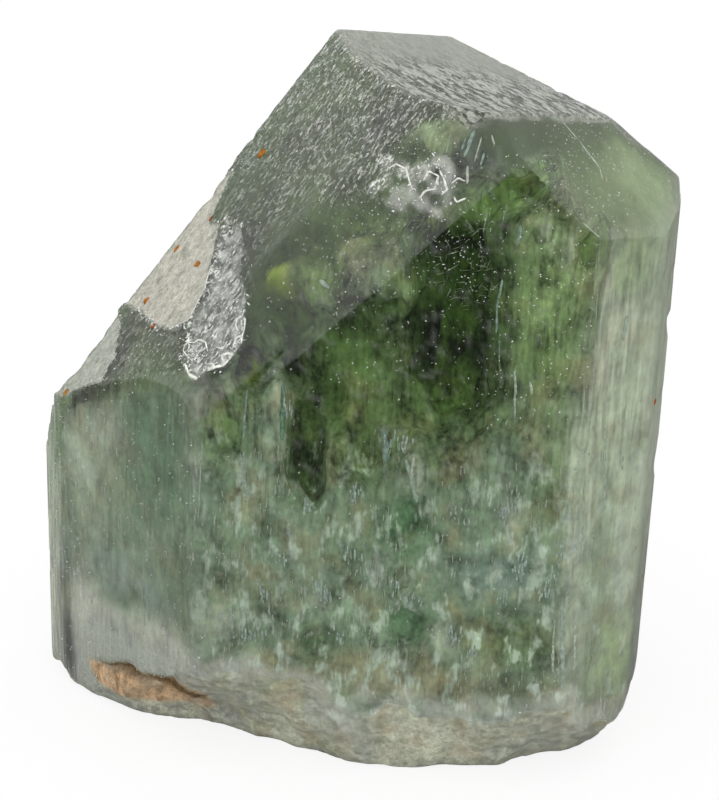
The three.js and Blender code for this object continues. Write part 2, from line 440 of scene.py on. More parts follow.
def skin(solid, low, high, step):
    """Vertices and quads where solid falls through zero. The vertex of each grid cell is
    fitted to the planes that touch the surface on the cell's edges, so edges stay crisp."""
    counts = np.ceil((np.array(high) - low) / step).astype(int) + 1
    lines = [low[k] + step * np.arange(counts[k]) for k in range(3)]
    coarse = np.stack(np.meshgrid(*(line[1::3] for line in lines), indexing="ij"), -1)
    value = solid(coarse.reshape(-1, 3)).reshape(coarse.shape[:3])
    for k in range(3):
        value = np.take(value, np.minimum(np.arange(counts[k]) // 3, value.shape[k] - 1), axis=k)
    near = np.argwhere(np.abs(value) < NEAR_CELLS * step)
    value[tuple(near.T)] = solid(low + step * near)
    spots, rings = [], []
    for axis, unit in enumerate(np.eye(3, dtype=int)):
        keep = [slice(None)] * 3
        keep[axis] = slice(None, -1)
        start = value[tuple(keep)]
        keep[axis] = slice(1, None)
        end = value[tuple(keep)]
        found = np.argwhere((start > 0) != (end > 0))
        start, end = start[tuple(found.T)], end[tuple(found.T)]
        spots.append(low + step * (found + (start / (start - end))[:, None] * unit))
        one, two = np.roll(unit, 1), np.roll(unit, 2)
        ring = np.stack([found, found - one, found - one - two, found - two], axis=1)
        ring[start < 0] = ring[start < 0][:, ::-1]
        rings.append(ring)
    spots, rings = np.concatenate(spots), np.concatenate(rings)
    nudges = NUDGE_SHARE * step * np.eye(3)
    rise = np.stack([solid(spots + nudge) - solid(spots - nudge) for nudge in nudges], axis=1)
    outward = -rise / np.linalg.norm(rise, axis=1, keepdims=True)
    cells, owner = np.unique(np.ravel_multi_index(rings.reshape(-1, 3).T, counts), return_inverse=True)
    spots, outward = np.repeat(spots, 4, axis=0), np.repeat(outward, 4, axis=0)

    def gathered(weights):
        return np.bincount(owner, weights=weights, minlength=len(cells))

    middle = np.column_stack([gathered(spots[:, k]) for k in range(3)]) / gathered(None)[:, None]
    offset = ((spots - middle[owner]) * outward).sum(axis=1)
    pull = np.column_stack([gathered(outward[:, k] * offset) for k in range(3)])
    stiff = np.array([[gathered(outward[:, i] * outward[:, j]) for j in range(3)] for i in range(3)])
    stiff = stiff.transpose(2, 0, 1) + HOLD * np.eye(3)
    places = middle + np.linalg.solve(stiff, pull[..., None])[..., 0]
    cell_low = low + step * np.column_stack(np.unravel_index(cells, counts))
    return np.clip(places, cell_low, cell_low + step), owner.reshape(-1, 4)


def piece_of(name, places, faces):
    """A smooth-shaded object from corners in mm."""
    mesh = bpy.data.meshes.new(name)
    mesh.from_pydata((np.asarray(places) * MM).tolist(), [], [list(map(int, face)) for face in faces])
    mesh.shade_smooth()
    piece = bpy.data.objects.new(name, mesh)
    bpy.context.scene.collection.objects.link(piece)
    return piece


def mark(piece, name, values):
    """One number or one colour a vertex, which the material reads."""
    values = np.asarray(values, dtype=np.float32)
    kind, field = ("FLOAT", "value") if values.ndim == 1 else ("FLOAT_VECTOR", "vector")
    piece.data.attributes.new(name, kind, "POINT").data.foreach_set(field, values.ravel())


UPHILL_NUDGE = 0.03


def uphill(solid, points):
    """The way into the solid from each point."""
    nudges = UPHILL_NUDGE * np.eye(3)
    rise = np.stack([solid(points + nudge) - solid(points - nudge) for nudge in nudges], axis=1)
    return rise / np.linalg.norm(rise, axis=1, keepdims=True)


def shares_of(gaps, blur):
    """Which face each point belongs to, as shares that blend over the blur (mm)."""
    nearness = np.exp(-(gaps - gaps.min(axis=1, keepdims=True)) / blur)
    return dict(zip(face_names, (nearness / nearness.sum(axis=1, keepdims=True)).T))


def lay(colour, tints, share):
    """Lays a colour over the vertices' own colours, as strongly as each vertex's share."""
    tints += share[:, None] * (np.array(colour) - tints)


CRYSTAL_GRID = 0.162
BOX_MARGIN = 0.4
box_low = cad_corners.min(axis=0) - BOX_MARGIN
box_high = cad_corners.max(axis=0) + BOX_MARGIN
places, quads = skin(crystal_solid, box_low, box_high, CRYSTAL_GRID)

# Which finish each vertex has: broken at the foot, grained on the slope and the top, glassy
# in front, and lined on the sides.
FACE_BLEND = 0.07
RIM_BREAK = (0.02, 0.12)
RIM_HAZE = (0.0, 0.7)
gaps = face_gaps(places)
share = shares_of(gaps, FACE_BLEND)
foot_gap = above_break(places) - gaps.min(axis=1)
hazy = falling(foot_gap + 0.3 * grain(places, 0.8, 15), *RIM_HAZE)
broken = np.maximum(falling(foot_gap, *RIM_BREAK), 0.55 * hazy)
whole = 1 - broken
clear_part = 1 - falling(in_mark(places, "clear part"), -0.7, 0.5)
sloped = whole * share["left slope"] * (1 - 0.6 * clear_part)
topped = whole * (share["top"] + 0.4 * share["back right slope"])
glassy = whole * (share["front"] + share["right slope"] + share["left slope"] * clear_part)
sloped += 0.6 * whole * share["back left steep"]
striated = np.clip(whole - sloped - topped - glassy, 0, 1)

# How strong each mark is at every vertex. Those on the left prism face end where the crystal's
# left side turns back, and those that aren't sunk are patchy.
CRISP_EDGE = (-0.1, 0.12)
WIDE_EDGE = (-0.1, 1.6)
SIDE_TURNS = (-0.3, 0.2)
inside_mark = {}
for name, (face, depth, _) in MARKS.items():
    edge = WIDE_EDGE if name == "frosted corner" else CRISP_EDGE
    here = 1 - falling(in_mark(places, name), *edge)
    if face == "left prism":
        here *= falling(places[:, 1], *SIDE_TURNS)
    elif depth:
        here *= share[face]
    else:
        here *= falling(gaps[:, face_names.index(face)], 0.9, 1.4)
    if not depth:
        patches = 0.55 + 1.3 * grain(places, 0.4, 17) + 0.8 * grain(places, 1.1, 18)
        here *= np.clip(patches if "etching" in name else patches + 1.3, 0, 1)
    inside_mark[name] = here
striated *= 1 - 0.8 * inside_mark["frosted corner"]

# Frost: how matt and pale each finish is, from 0 to 1, and its colour there.
rear_of_top = 1 - falling(places[:, 1], -0.5, 4.0)
slope_spot = on_face(places, "left slope")
second = np.partition(gaps, 1, axis=1)[:, 1]
# Along the top's edges the pale frost is partly wear and partly a painted highlight.
top_edge_wear_and_glint = falling(second, 0.06, 0.2) * falling(np.abs(gaps[:, face_names.index("top")]), 0.1, 0.3)
left_gaps = gaps[:, [face_names.index(face) for face in ("left side", "left prism")]]
left_edge = np.abs(left_gaps).max(axis=1)
frost = sum(where * amount for where, amount in (
    (sloped * (1 - 0.85 * clear_part), 0.035 + 0.05 * (1 - falling(slope_spot[:, 1], 11, 18))),
    (topped, 0.30 - 0.02 * rear_of_top),
    (striated, 0.05),
    (broken, 0.50 + 0.22 * grain(places, 1.3, 19) + 0.12 * grain(places, 0.5, 28)),
    (whole * share["right slope"], 0.02),
    (clear_part * share["left slope"], 0.004),
    (whole * share["front"], 0.05 * np.clip(grain(places, 0.2, 33) * 2.2 - 0.7, 0, 1)),
    # Painted light: the frost along the left edge stands in for light glowing through the thin edge.
    (whole * falling(left_edge, 0.1, 0.85), 0.36 * (0.75 + 0.5 * grain(places, (0.3, 0.3, 1.5), 36))),
    (whole * top_edge_wear_and_glint, 0.6 * np.clip(grain(places, 0.5, 16) + 0.5, 0, 1)),
))
damp = broken * np.clip(0.5 * grain(places, 1.1, 29) + 0.4 * grain(places, 0.45, 30), 0, 0.6)
frost_tint = (0.34, 0.37, 0.30) + topped[:, None] * (0.01, -0.02, 0.02)
# Painted light: the paler tint along the left edge stands in for light glowing through the thin edge.
lay((0.56, 0.61, 0.50), frost_tint, whole * falling(left_edge, 0.3, 1.0))
lay((0.60, 0.62, 0.48), frost_tint, broken)
lay((0.30, 0.34, 0.20), frost_tint, damp)
# Each mark's own frost and its colour.
FROST = {
    "frosted corner": (0.40, (0.60, 0.65, 0.55)),
    "cream shelf": (0.93, (0.45, 0.44, 0.37)),
    "frosted trough": (0.80, (0.40, 0.42, 0.39)),
    "corner chip": (0.88, (0.38, 0.40, 0.34)),
    "upper etching": (0.42, (0.60, 0.62, 0.55)),
    "lower etching": (0.40, (0.60, 0.62, 0.55)),
    "iron stain": (0.82, (0.46, 0.31, 0.18)),
    # The crevice's near-black brown is partly the iron stain in its hollow and partly painted shade under
    # its overhang.
    "crevice with painted shade": (0.9, (0.13, 0.08, 0.03)),
    "notch": (0.8, (0.38, 0.38, 0.30)),
}
for name, (amount, tint) in FROST.items():
    frost += inside_mark[name] * (amount - frost)
    lay(tint, frost_tint, inside_mark[name])
veined = grain(places, (0.3, 0.3, 1.0), 34) + 0.6 * grain(places, 0.25, 35)
frost -= inside_mark["frosted trough"] * np.clip(0.45 * veined + 0.2, 0, 0.6)
frost -= inside_mark["cream shelf"] * np.clip(0.25 * veined, 0, 0.3)
ETCHED = {
    "frosted trough": 1, "upper etching": 0.8, "lower etching": 1, "iron stain": 0.8, "cream shelf": 0.35,
    "corner chip": 0.35,
}
etched = sum(amount * inside_mark[name] for name, amount in ETCHED.items())

# Where crust grows: on the lower rim of the trough and the shelf, and in the etched patches.
on_slope = whole * share["left slope"]
on_trough_rim = falling(np.abs(in_mark(places, "frosted trough") - 0.05), 0.12, 0.42)
low_rim = 1 - falling(slope_spot[:, 0] - 0.9 * (slope_spot[:, 1] - 8.2), 0.2, 1.4)
on_shelf_rim = falling(np.abs(in_mark(places, "cream shelf")), 0.05, 0.2)
crusted = np.max([
    1.8 * on_slope * on_trough_rim * low_rim,
    1.6 * whole * inside_mark["lower etching"],
    1.1 * whole * inside_mark["upper etching"],
    on_slope * on_shelf_rim * falling(slope_spot[:, 1], 7.9, 8.6),
], axis=0)

# Where dust lies, face by face, and most of all high on the front.
front_dust = 0.15 + 0.85 * (1 - falling(places[:, 2], 13, 18))
DUST = {
    "right slope": 1, "left prism": 0.3, "back": 0.6, "back left steep": 0.6, "front": front_dust,
    "left slope": 0.7,
}
dusty = whole * sum(amount * share[face] for face, amount in DUST.items())
dusty *= np.clip(grain(places, 2.4, 14) + 0.55, 0.05, 1)

# The relief of each finish: where it is, its height and the size of its bumps in mm, and a seed.
RELIEF = [
    (sloped, 0.018, 0.3, 5),
    (sloped, 0.012, 0.19, 6),
    (topped, 0.012, 0.3, 7),
    (glassy, 0.005, (0.8, 0.8, 2.4), 8),
    (striated, 0.014, (0.4, 0.4, 7), 9),
    (striated, 0.007, (0.2, 0.2, 3), 10),
    (broken * (places[:, 2] > 0.15), 0.045, 0.7, 11),
    (broken * (places[:, 2] > 0.15), 0.02, 0.3, 12),
    (inside_mark["frosted trough"], 0.015, 0.3, 13),
]
relief = sum(where * height * grain(places, size, seed) for where, height, size, seed in RELIEF)
places = places - relief[:, None] * uphill(crystal_solid, places)
places[:, 2] = np.maximum(places[:, 2], 0)

SHARPEST_SMOOTH = math.radians(36)
crystal = piece_of("crystal_faces", places, quads)
crystal.data.set_sharp_from_angle(angle=SHARPEST_SMOOTH)
for name, values in {
    "sloped": sloped,
    "topped": topped,
    "stroked": topped * (1 - 0.8 * rear_of_top),
    "striated": striated,
    "broken": broken,
    "frost": np.clip(frost, 0, 1),
    "frost_tint": frost_tint,
    "crusted": crusted,
    "etched": np.clip(etched, 0, 1),
    "dusty": dusty,
}.items():
    mark(crystal, name, values)

DIOPSIDE_IOR = 1.68
ABSORBED = (0.42, 0.66, 0.10, 1)
ABSORBED_PER_M = 180
SMOOTH = 0.04
SHEEN = 0.24
SHEEN_TINT = (0.6, 0.6, 0.6, 1)
GRAIN_RELIEF = 0.04 * MM
CLEAR_TINT = (0.94, 0.96, 0.90, 1)
GRAIN_TINT = (0.40, 0.46, 0.36, 1)
EARTH = (0.46, 0.39, 0.26, 1)


def scaled(tree, vector, amount):
    return wire(tree, "ShaderNodeVectorMath", {0: vector, "Scale": amount}, operation="SCALE").outputs[0]


def in_mm(tree):
    """Where a point lies on its piece, in mm."""
    return scaled(tree, wire(tree, "ShaderNodeTexCoord").outputs["Object"], 1 / MM)


def stretched(tree, where, scale):
    return wire(tree, "ShaderNodeVectorMath", {0: where, 1: scale}, operation="MULTIPLY").outputs[0]


def turned(tree, where, degrees):
    made = wire(tree, "ShaderNodeMapping", {"Vector": where, "Rotation": tuple(map(math.radians, degrees))})
    return made.outputs[0]


def each_cell(tree, where):
    """A random number for each cell of a natural-looking mosaic, one cell a unit across."""
    cell = wire(tree, "ShaderNodeTexVoronoi", {"Vector": where, "Scale": 1.0}).outputs["Color"]
    return wire(tree, "ShaderNodeSeparateXYZ", {0: cell}).outputs["X"]


def mottle(tree, where, scale, detail=2.0, roughness=0.5):
    made = wire(tree, "ShaderNodeTexNoise", {"Vector": where, "Scale": scale, "Detail": detail})
    made.inputs["Roughness"].default_value = roughness
    return made.outputs["Fac"]


def between(tree, value, low, high, at_low=0.0, at_high=1.0):
    """Value spread from low..high to at_low..at_high, and held there."""
    made = wire(tree, "ShaderNodeMapRange", {0: value, 1: low, 2: high, 3: at_low, 4: at_high})
    return made.outputs[0]


def product(tree, one, two):
    return wire(tree, "ShaderNodeMath", {0: one, 1: two}, operation="MULTIPLY").outputs[0]


def blend(tree, share, low, high):
    """Two colours mixed."""
    made = tree.nodes.new("ShaderNodeMix")
    made.data_type = "RGBA"
    for socket, value in ((made.inputs[0], share), (made.inputs[6], low), (made.inputs[7], high)):
        if isinstance(value, bpy.types.NodeSocket):
            tree.links.new(value, socket)
        else:
            socket.default_value = value
    return made.outputs[2]


def marked(tree, name, output="Fac"):
    return wire(tree, "ShaderNodeAttribute", attribute_name=name).outputs[output]


glass, tree = new_finish("diopside")
where = in_mm(tree)
is_sloped, is_topped, is_stroked, is_striated, is_broken, is_frosted = (
    marked(tree, name) for name in ("sloped", "topped", "stroked", "striated", "broken", "frost")
)
down_slope = turned(tree, turned(tree, where, (0, 0, -25)), (0, 50, 0))
scratchy = mottle(tree, stretched(tree, down_slope, (3.6, 9.0, 9.0)), 1.0, 3.0, 0.65)
grains = sum_of(tree, [
    (each_cell(tree, stretched(tree, down_slope, (5.5, 11.0, 11.0))), 0.6),
    (each_cell(tree, stretched(tree, down_slope, (11.0, 19.0, 19.0))), 0.4),
])
pits = mottle(tree, where, 10.0, 2.0, 0.7)
fine_pits = mottle(tree, where, 16.0, 1.0)
along_edge = turned(tree, where, (0, 0, 68))
contour = mottle(tree, stretched(tree, along_edge, (2.2, 11.0, 11.0)), 1.0, 3.0, 0.65)
strokes = sum_of(tree, [
    (each_cell(tree, stretched(tree, along_edge, (1.5, 9.0, 9.0))), 0.6),
    (each_cell(tree, stretched(tree, along_edge, (4.0, 16.0, 16.0))), 0.4),
])
lines = mottle(tree, stretched(tree, where, (9.0, 9.0, 0.5)), 1.0, 3.0)
lumps = mottle(tree, where, 3.0, 3.0, 0.6)
height = sum_of(tree, [
    (is_sloped, sum_of(tree, [(scratchy, 1.4), (pits, 0.6)])),
    (is_stroked, sum_of(tree, [(contour, 3.8), (pits, 1.8)])),
    (is_striated, sum_of(tree, [(lines, 0.35)])),
    (is_broken, sum_of(tree, [(lumps, 0.9)])),
    (product(tree, fine_pits, is_frosted), 0.2),
])
bump = wire(tree, "ShaderNodeBump", {"Height": height, "Distance": GRAIN_RELIEF, "Strength": 0.9})
roughness = sum_of(tree, [
    (is_sloped, 0.24), (is_topped, 0.34), (is_striated, 0.10), (is_broken, 0.36),
], SMOOTH)
speckle = sum_of(tree, [
    (is_sloped, between(tree, grains, 0.58, 0.88, -0.7, 4.6)),
    (is_stroked, between(tree, strokes, 0.3, 0.7, -0.95, 1.1)),
    (is_broken, between(tree, lumps, 0.38, 0.62, -0.45, 0.45)),
    (is_striated, between(tree, lines, 0.4, 0.6, -0.5, 0.5)),
])
calm = between(tree, is_frosted, 0.1, 1.0, 1.0, 0.0)
patchwork = sum_of(tree, [(speckle, calm)], 1.0)
clear = wire(tree, "ShaderNodeMath", {
    0: 1.0, 1: product(tree, is_frosted, patchwork),
}, operation="SUBTRACT", use_clamp=True).outputs[0]
lumpy = mottle(tree, stretched(tree, where, (3.4, 3.4, 1.6)), 1.0, 3.0, 0.6)
grit = sum_of(tree, [
    (marked(tree, "etched"), between(tree, lumpy, 0.36, 0.64, -0.45, 0.55)),
    (is_stroked, between(tree, strokes, 0.2, 0.8, -0.6, 0.75)),
], between(tree, sum_of(tree, [(pits, 0.6), (scratchy, 0.4)]), 0.36, 0.64, 0.72, 1.3))
gritty = scaled(tree, marked(tree, "frost_tint", "Color"), grit)
stained = between(tree, mottle(tree, where, 0.9, 3.0, 0.65), 0.47, 0.64, 0.0, 0.6)
gritty = blend(tree, product(tree, is_broken, stained), gritty, EARTH)
dark_grain = sum_of(tree, [
    (is_sloped, between(tree, grains, 0.15, 0.45, 0.85, 0.0)),
    (is_stroked, between(tree, strokes, 0.3, 0.6, 1.0, 0.0)),
])
seen_through = blend(tree, dark_grain, CLEAR_TINT, GRAIN_TINT)
tint = blend(tree, between(tree, is_frosted, 0.12, 0.5), seen_through, gritty)
surface = wire(tree, "ShaderNodeBsdfPrincipled", {
    "Base Color": tint,
    "Roughness": roughness,
    "IOR": DIOPSIDE_IOR,
    "Specular IOR Level": SHEEN,
    "Specular Tint": SHEEN_TINT,
    "Transmission Weight": clear,
    "Normal": bump.outputs[0],
})
filled = wire(tree, "ShaderNodeVolumeAbsorption", {"Color": ABSORBED, "Density": ABSORBED_PER_M})
wire(tree, "ShaderNodeOutputMaterial", {"Surface": surface.outputs[0], "Volume": filled.outputs[0]})
crystal.data.materials.append(glass)
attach(crystal, "root")
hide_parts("crystal")

# Milk: clouds of tiny fluid-filled hollows, sealed in as the crystal grew, fill most of it
# just under the faces. Behind the front they open into a clear dark green zone, the gem.
MILK_GRID = 0.20
MILK_START = 0.28
MILK_BLEND = 0.18
ABOVE_FOOT = 0.15
# Zones are worked out in the milk and this far round it.
MILK_REACH = 0.5
# The milk starts at a share of its depth over the foot, and at all of it from 2.2 mm up.
FOOT_SHARE = 0.25
FOOT_SHALLOWS = (0.3, 2.2)
ZONE_CRISPNESS = 1.3
# How far the swirls move things, the swirls' size, and their seeds.
SWIRLS = ((0.28, (0.9, 0.9, 1.4), (20, 21, 22)), (0.12, 0.4, (25, 26, 27)))
# The milk's lumps: their height, size and seed.
MILK_LUMPS = ((0.16, (0.6, 0.6, 1.6), 23), (0.06, (0.3, 0.3, 0.8), 24))
# The milk's colours, from the gem's near-black green to the white of its densest veils.
NIGHT = (0.02, 0.03, 0.015)
DEEP = (0.10, 0.155, 0.055)
MOSS = (0.20, 0.27, 0.12)
DUSK = (0.17, 0.32, 0.22)
LEAF = (0.37, 0.47, 0.25)
# Painted light: a yellow-green glow that stands in for light reflected inside the crystal.
PAINTED_GLOW_LIME = (0.50, 0.62, 0.06)
PALE_LEAF = (0.60, 0.74, 0.47)
SAGE = (0.42, 0.53, 0.44)
BLUISH = (0.50, 0.62, 0.72)
BEIGE = (0.73, 0.57, 0.45)
FROSTY = (0.80, 0.85, 0.77)
WHITE = (0.95, 0.95, 0.92)
# Zones of each face: middle and half sizes in mm along and up it, lean in degrees, how deep
# the milk starts there, how strongly the zone shows, and the milk's colour.
ZONES = {
    "front": [
        (1, 8.5, 13.5, 13.5, 0, 0.6, 1, SAGE),
        (7, 18, 1.5, 3.5, 0, 1.6, 0.95, PALE_LEAF),
        (0.8, 15.8, 2.1, 2.2, 0, 2.0, 0.9, DEEP),
        (1.3, 13.1, 1.7, 1.6, 0, 2.0, 0.85, LEAF),
        (3.9, 17.7, 1.7, 3.9, 0, 3.0, 1, DEEP),
        (5.4, 21.3, 2.2, 0.7, 28, 3.0, 0.95, PALE_LEAF),
        (4.1, 14.5, 1.6, 1.4, 0, 3.0, 0.95, MOSS),
        (4.1, 18.7, 0.8, 1.4, 0, 3.6, 1, DEEP),
        (4.5, 16.7, 0.7, 0.6, 0, 3.0, 0.8, DEEP),
        (3.2, 16.1, 0.3, 1.4, 0, 3.6, 1, NIGHT),
        (4.7, 15.6, 0.5, 0.7, 0, 3.2, 0.9, NIGHT),
        (6.7, 20.1, 0.3, 0.4, 0, 1.0, 0.8, FROSTY),
        (7.5, 19.7, 0.3, 0.6, 0, 1.0, 0.9, FROSTY),
        (8.1, 19.6, 0.3, 0.8, 0, 2.0, 0.9, LEAF),
        (6.9, 18.7, 0.3, 0.3, 0, 1.5, 0.7, DEEP),
        (6.8, 15.9, 0.6, 0.9, 0, 1.5, 0.6, MOSS),
        (1.9, 18.8, 0.4, 0.7, -27, 1.0, 0.85, LEAF),
        (2.4, 17.9, 0.4, 0.7, 0, 1.0, 0.75, PALE_LEAF),
        (1.7, 17.3, 0.5, 0.4, 0, 2.0, 0.75, DEEP),
        (-1.7, 16.2, 1.4, 1.1, 0, 3.0, 0.95, DEEP),
        (-1.2, 15.9, 0.4, 0.4, 0, 2.4, 1, NIGHT),
        (-1.1, 15, 0.3, 0.5, 0, 2.6, 1, NIGHT),
        (-2.6, 14.9, 0.5, 0.6, 0, 3.0, 1, NIGHT),
        # Painted light: a lime glow of light reflected inside the crystal.
        (-2.6, 14.7, 0.3, 0.3, 0, 1.2, 0.8, PAINTED_GLOW_LIME),
        (-3.8, 13.1, 0.8, 1.5, 0, 1.6, 0.8, MOSS),
        (-1.6, 13.6, 0.4, 1.1, 0, 0.7, 0.85, FROSTY),
        (-2.8, 13.9, 0.4, 0.9, 0, 0.8, 0.6, MOSS),
        (-0.8, 11.7, 0.5, 1.4, 0, 2.4, 0.9, DEEP),
        (-0.9, 13.4, 0.5, 1.1, 0, 2.6, 0.85, MOSS),
        (-0.1, 14, 0.7, 1.1, 0, 2.5, 0.8, DEEP),
        (0.8, 12.1, 1, 0.9, 0, 1.5, 0.7, DEEP),
        (1.8, 12.8, 0.4, 0.5, 0, 0.5, 0.7, FROSTY),
        (2.8, 11.7, 0.3, 0.9, -10, 0.4, 0.95, WHITE),
        (2.7, 12.8, 0.4, 0.4, 0, 1.5, 0.7, DEEP),
        (2.6, 9.7, 0.9, 1.1, 0, 1.2, 0.8, DUSK),
        (3.9, 12, 0.8, 0.8, 0, 0.6, 0.5, LEAF),
        (-2, 8.3, 1.7, 1.7, 0, 0.5, 0.55, SAGE),
        (7.7, 11.8, 0.7, 2.9, 0, 0.6, 0.6, LEAF),
        (6.2, 10.4, 0.4, 0.5, 0, 0.4, 0.6, WHITE),
        (6, 8.2, 1.4, 1.1, 0, 1.0, 0.6, BLUISH),
        (2.6, 7.7, 0.5, 0.5, 0, 1.5, 0.75, FROSTY),
        (2.9, 6.1, 0.9, 0.7, 0, 1.3, 0.75, DUSK),
        (6.8, 5.7, 1.7, 0.9, 0, 0.9, 0.6, MOSS),
        (-0.4, 5.1, 0.5, 0.6, 0, 1.2, 0.75, DUSK),
        (-0.2, 6.7, 0.5, 0.4, 0, 0.4, 0.6, WHITE),
        (-3.7, 5.8, 0.8, 0.8, 0, 0.4, 0.6, WHITE),
        (4.4, 5.7, 0.5, 0.6, 0, 0.4, 0.5, WHITE),
        (1.6, 3.9, 5.3, 0.7, 0, 0.5, 0.5, BEIGE),
        (8.4, 10.5, 0.4, 3.4, 0, 0.4, 0.7, WHITE),
        (8.4, 6, 0.5, 1.8, 0, 0.3, 0.8, WHITE),
    ],
    "left prism": [
        (-3.5, 9, 7, 6.5, 0, 0.7, 1, SAGE),
        (-6.1, 9.7, 1.5, 3.3, 0, 0.5, 0.75, FROSTY),
        (-4.4, 11.4, 0.8, 1.2, 0, 0.5, 0.7, WHITE),
        (-2, 11, 2.1, 2.9, 0, 1.1, 0.8, DUSK),
        (-3.6, 5.6, 1.8, 1, 0, 0.8, 0.75, BLUISH),
        (-3.6, 4.8, 0.9, 0.6, 0, 1.4, 0.7, DUSK),
        (-2.2, 4.2, 3.5, 0.8, 0, 0.4, 0.85, WHITE),
        (-6.3, 3.9, 1.2, 1.6, 0, 0.4, 0.8, WHITE),
        (-0.5, 7.6, 0.4, 1.6, 0, 1.2, 0.6, DEEP),
        (0.5, 11.8, 0.5, 0.5, 0, 0.4, 0.75, WHITE),
    ],
    "left side": [
        (-2.4, 7.7, 7.5, 5, 0, 0.5, 1, FROSTY),
        (-1.5, 2.4, 5, 2.5, 0, 0.4, 0.95, WHITE),
    ],
    "right prism": [
        (4, 11.3, 6, 11, 0, 0.5, 1, FROSTY),
        (3.6, 18.9, 1.6, 1.1, 0, 0.6, 0.8, PALE_LEAF),
        (3.4, 16.9, 0.8, 0.7, 0, 0.4, 0.85, WHITE),
        (2.5, 17, 0.4, 3.3, 0, 0.6, 0.8, WHITE),
        (4.4, 7.5, 0.4, 3.5, 0, 0.4, 0.7, WHITE),
        (3.2, 8, 0.6, 2.5, 0, 0.8, 0.6, SAGE),
        (4.7, 12.5, 0.8, 0.5, 0, 0.9, 0.6, SAGE),
        (4.6, 4.3, 1.6, 1.8, 0, 0.8, 0.8, PALE_LEAF),
    ],
    "right side": [
        (-2.2, 13.5, 10.5, 10.4, 0, 0.5, 1, FROSTY),
        (-1.7, 12.5, 2.9, 1.2, 0, 0.3, 0.9, WHITE),
        (-3, 4.4, 2.2, 1.8, 0, 0.3, 0.9, WHITE),
    ],
    "right slope": [
        (3.8, 10.9, 5.6, 3.4, 0, 0.6, 1, LEAF),
        (0.3, 12.4, 2.6, 1.5, 0, 1.0, 0.9, DEEP),
        (3.5, 12.5, 1.1, 0.5, 0, 0.8, 0.7, DEEP),
        (4.6, 10, 1.3, 2.2, 0, 0.4, 0.7, PALE_LEAF),
    ],
    "left slope": [
        (-0.5, 11.6, 15.7, 14, 0, 1.1, 1, DEEP),
        (-2.5, 18, 2.9, 2.7, 0, 0.6, 0.8, MOSS),
        (3, 18.2, 1.7, 1.3, 0, 0.7, 0.6, NIGHT),
        (5.8, 18.1, 1.6, 0.8, 0, 0.5, 0.9, LEAF),
        (8.1, 18.3, 0.9, 1, 0, 0.5, 0.9, FROSTY),
        (4.8, 18, 0.7, 0.4, 0, 0.4, 0.7, PALE_LEAF),
        (1.9, 14.2, 3.5, 2.1, 0, 0.7, 0.7, MOSS),
        (3.1, 14.1, 0.8, 0.7, 0, 0.5, 0.6, LEAF),
        (-0.1, 11.8, 1.2, 2.3, 0, 1.2, 0.6, DEEP),
        (-2.1, 6.7, 2.8, 1.7, 0, 0.8, 0.8, MOSS),
        (3.6, 11.5, 2.1, 3.3, -83, 2.2, 0.9, DEEP),
        (4.3, 13.7, 2.5, 1.7, 0, 1.6, 0.9, DEEP),
        (4.4, 13.6, 0.8, 0.7, 0, 0.8, 0.6, LEAF),
        (5.6, 12.1, 0.6, 0.4, 0, 0.7, 0.7, PALE_LEAF),
        (3.1, 12.3, 0.9, 0.8, 0, 1.0, 0.7, LEAF),
        (2.1, 10.5, 0.7, 2, 0, 1.8, 0.8, NIGHT),
        (2.6, 11.1, 0.5, 0.6, 0, 3.0, 0.9, NIGHT),
        # Painted light: a lime glow of light reflected inside the crystal.
        (2.2, 11.5, 0.4, 0.9, -46, 0.8, 0.85, PAINTED_GLOW_LIME),
        (5.8, 15.3, 1.2, 0.9, 0, 2.2, 0.8, LEAF),
        (7.2, 16.5, 1.3, 1.2, 0, 2.0, 0.7, DEEP),
    ],
    "back": [
        (0, 11, 30, 30, 0, 0.6, 1, SAGE),
        (-3, 15.5, 2.6, 4.2, 0, 2.0, 0.9, MOSS),
        (-4, 17, 1.2, 2.6, 0, 2.8, 0.9, DEEP),
        (-1.5, 12, 0.6, 1.6, 0, 2.0, 0.8, DEEP),
        (-2.2, 14.2, 0.4, 1.2, 0, 0.7, 0.8, FROSTY),
        (2, 9, 2, 3, 0, 1.0, 0.7, LEAF),
        (4, 5, 3, 1.6, 0, 0.5, 0.7, FROSTY),
        (-2, 4.5, 4, 1.2, 0, 0.4, 0.6, WHITE),
        (6, 13, 1.2, 4, 0, 0.6, 0.6, BLUISH),
        (-7, 8, 1, 4, 0, 0.5, 0.7, FROSTY),
        (0.5, 6.5, 1.0, 0.8, 0, 1.2, 0.7, DUSK),
    ],
    "back right prism": [
        (0, 11, 30, 30, 0, 0.5, 1, SAGE),
        (1, 14, 1.6, 4, 0, 1.4, 0.8, MOSS),
        (-2, 7, 1, 4, 0, 0.5, 0.7, FROSTY),
        (3, 5, 2, 2, 0, 0.8, 0.7, DUSK),
    ],
    "back left steep": [
        (0, 12, 30, 30, 0, 0.6, 1, SAGE),
        (-1, 16, 3.2, 4, 20, 1.8, 0.9, MOSS),
        (0, 17, 1.4, 2.6, 20, 2.6, 0.9, DEEP),
        (-3, 14.5, 0.6, 1.4, 10, 2.2, 0.8, NIGHT),
        (-1.5, 18.5, 0.5, 1.2, 10, 0.7, 0.7, PALE_LEAF),
        (3, 9, 2, 3, 0, 0.8, 0.7, LEAF),
        (-5, 7, 2.6, 3, 0, 0.5, 0.7, FROSTY),
        (1, 6, 1.2, 1, 0, 1.2, 0.7, DUSK),
        (2, 4, 4, 1.2, 0, 0.4, 0.7, WHITE),
        (-4, 11.5, 0.8, 2.4, 0, 0.6, 0.6, BLUISH),
    ],
    "top": [
        (2, 0.8, 14.5, 11, 0, 0.4, 1, MOSS),
    ],
}
ZONES["right bevel"] = ZONES["right side"]
ZONES["back right slope"] = ZONES["right slope"][:1]


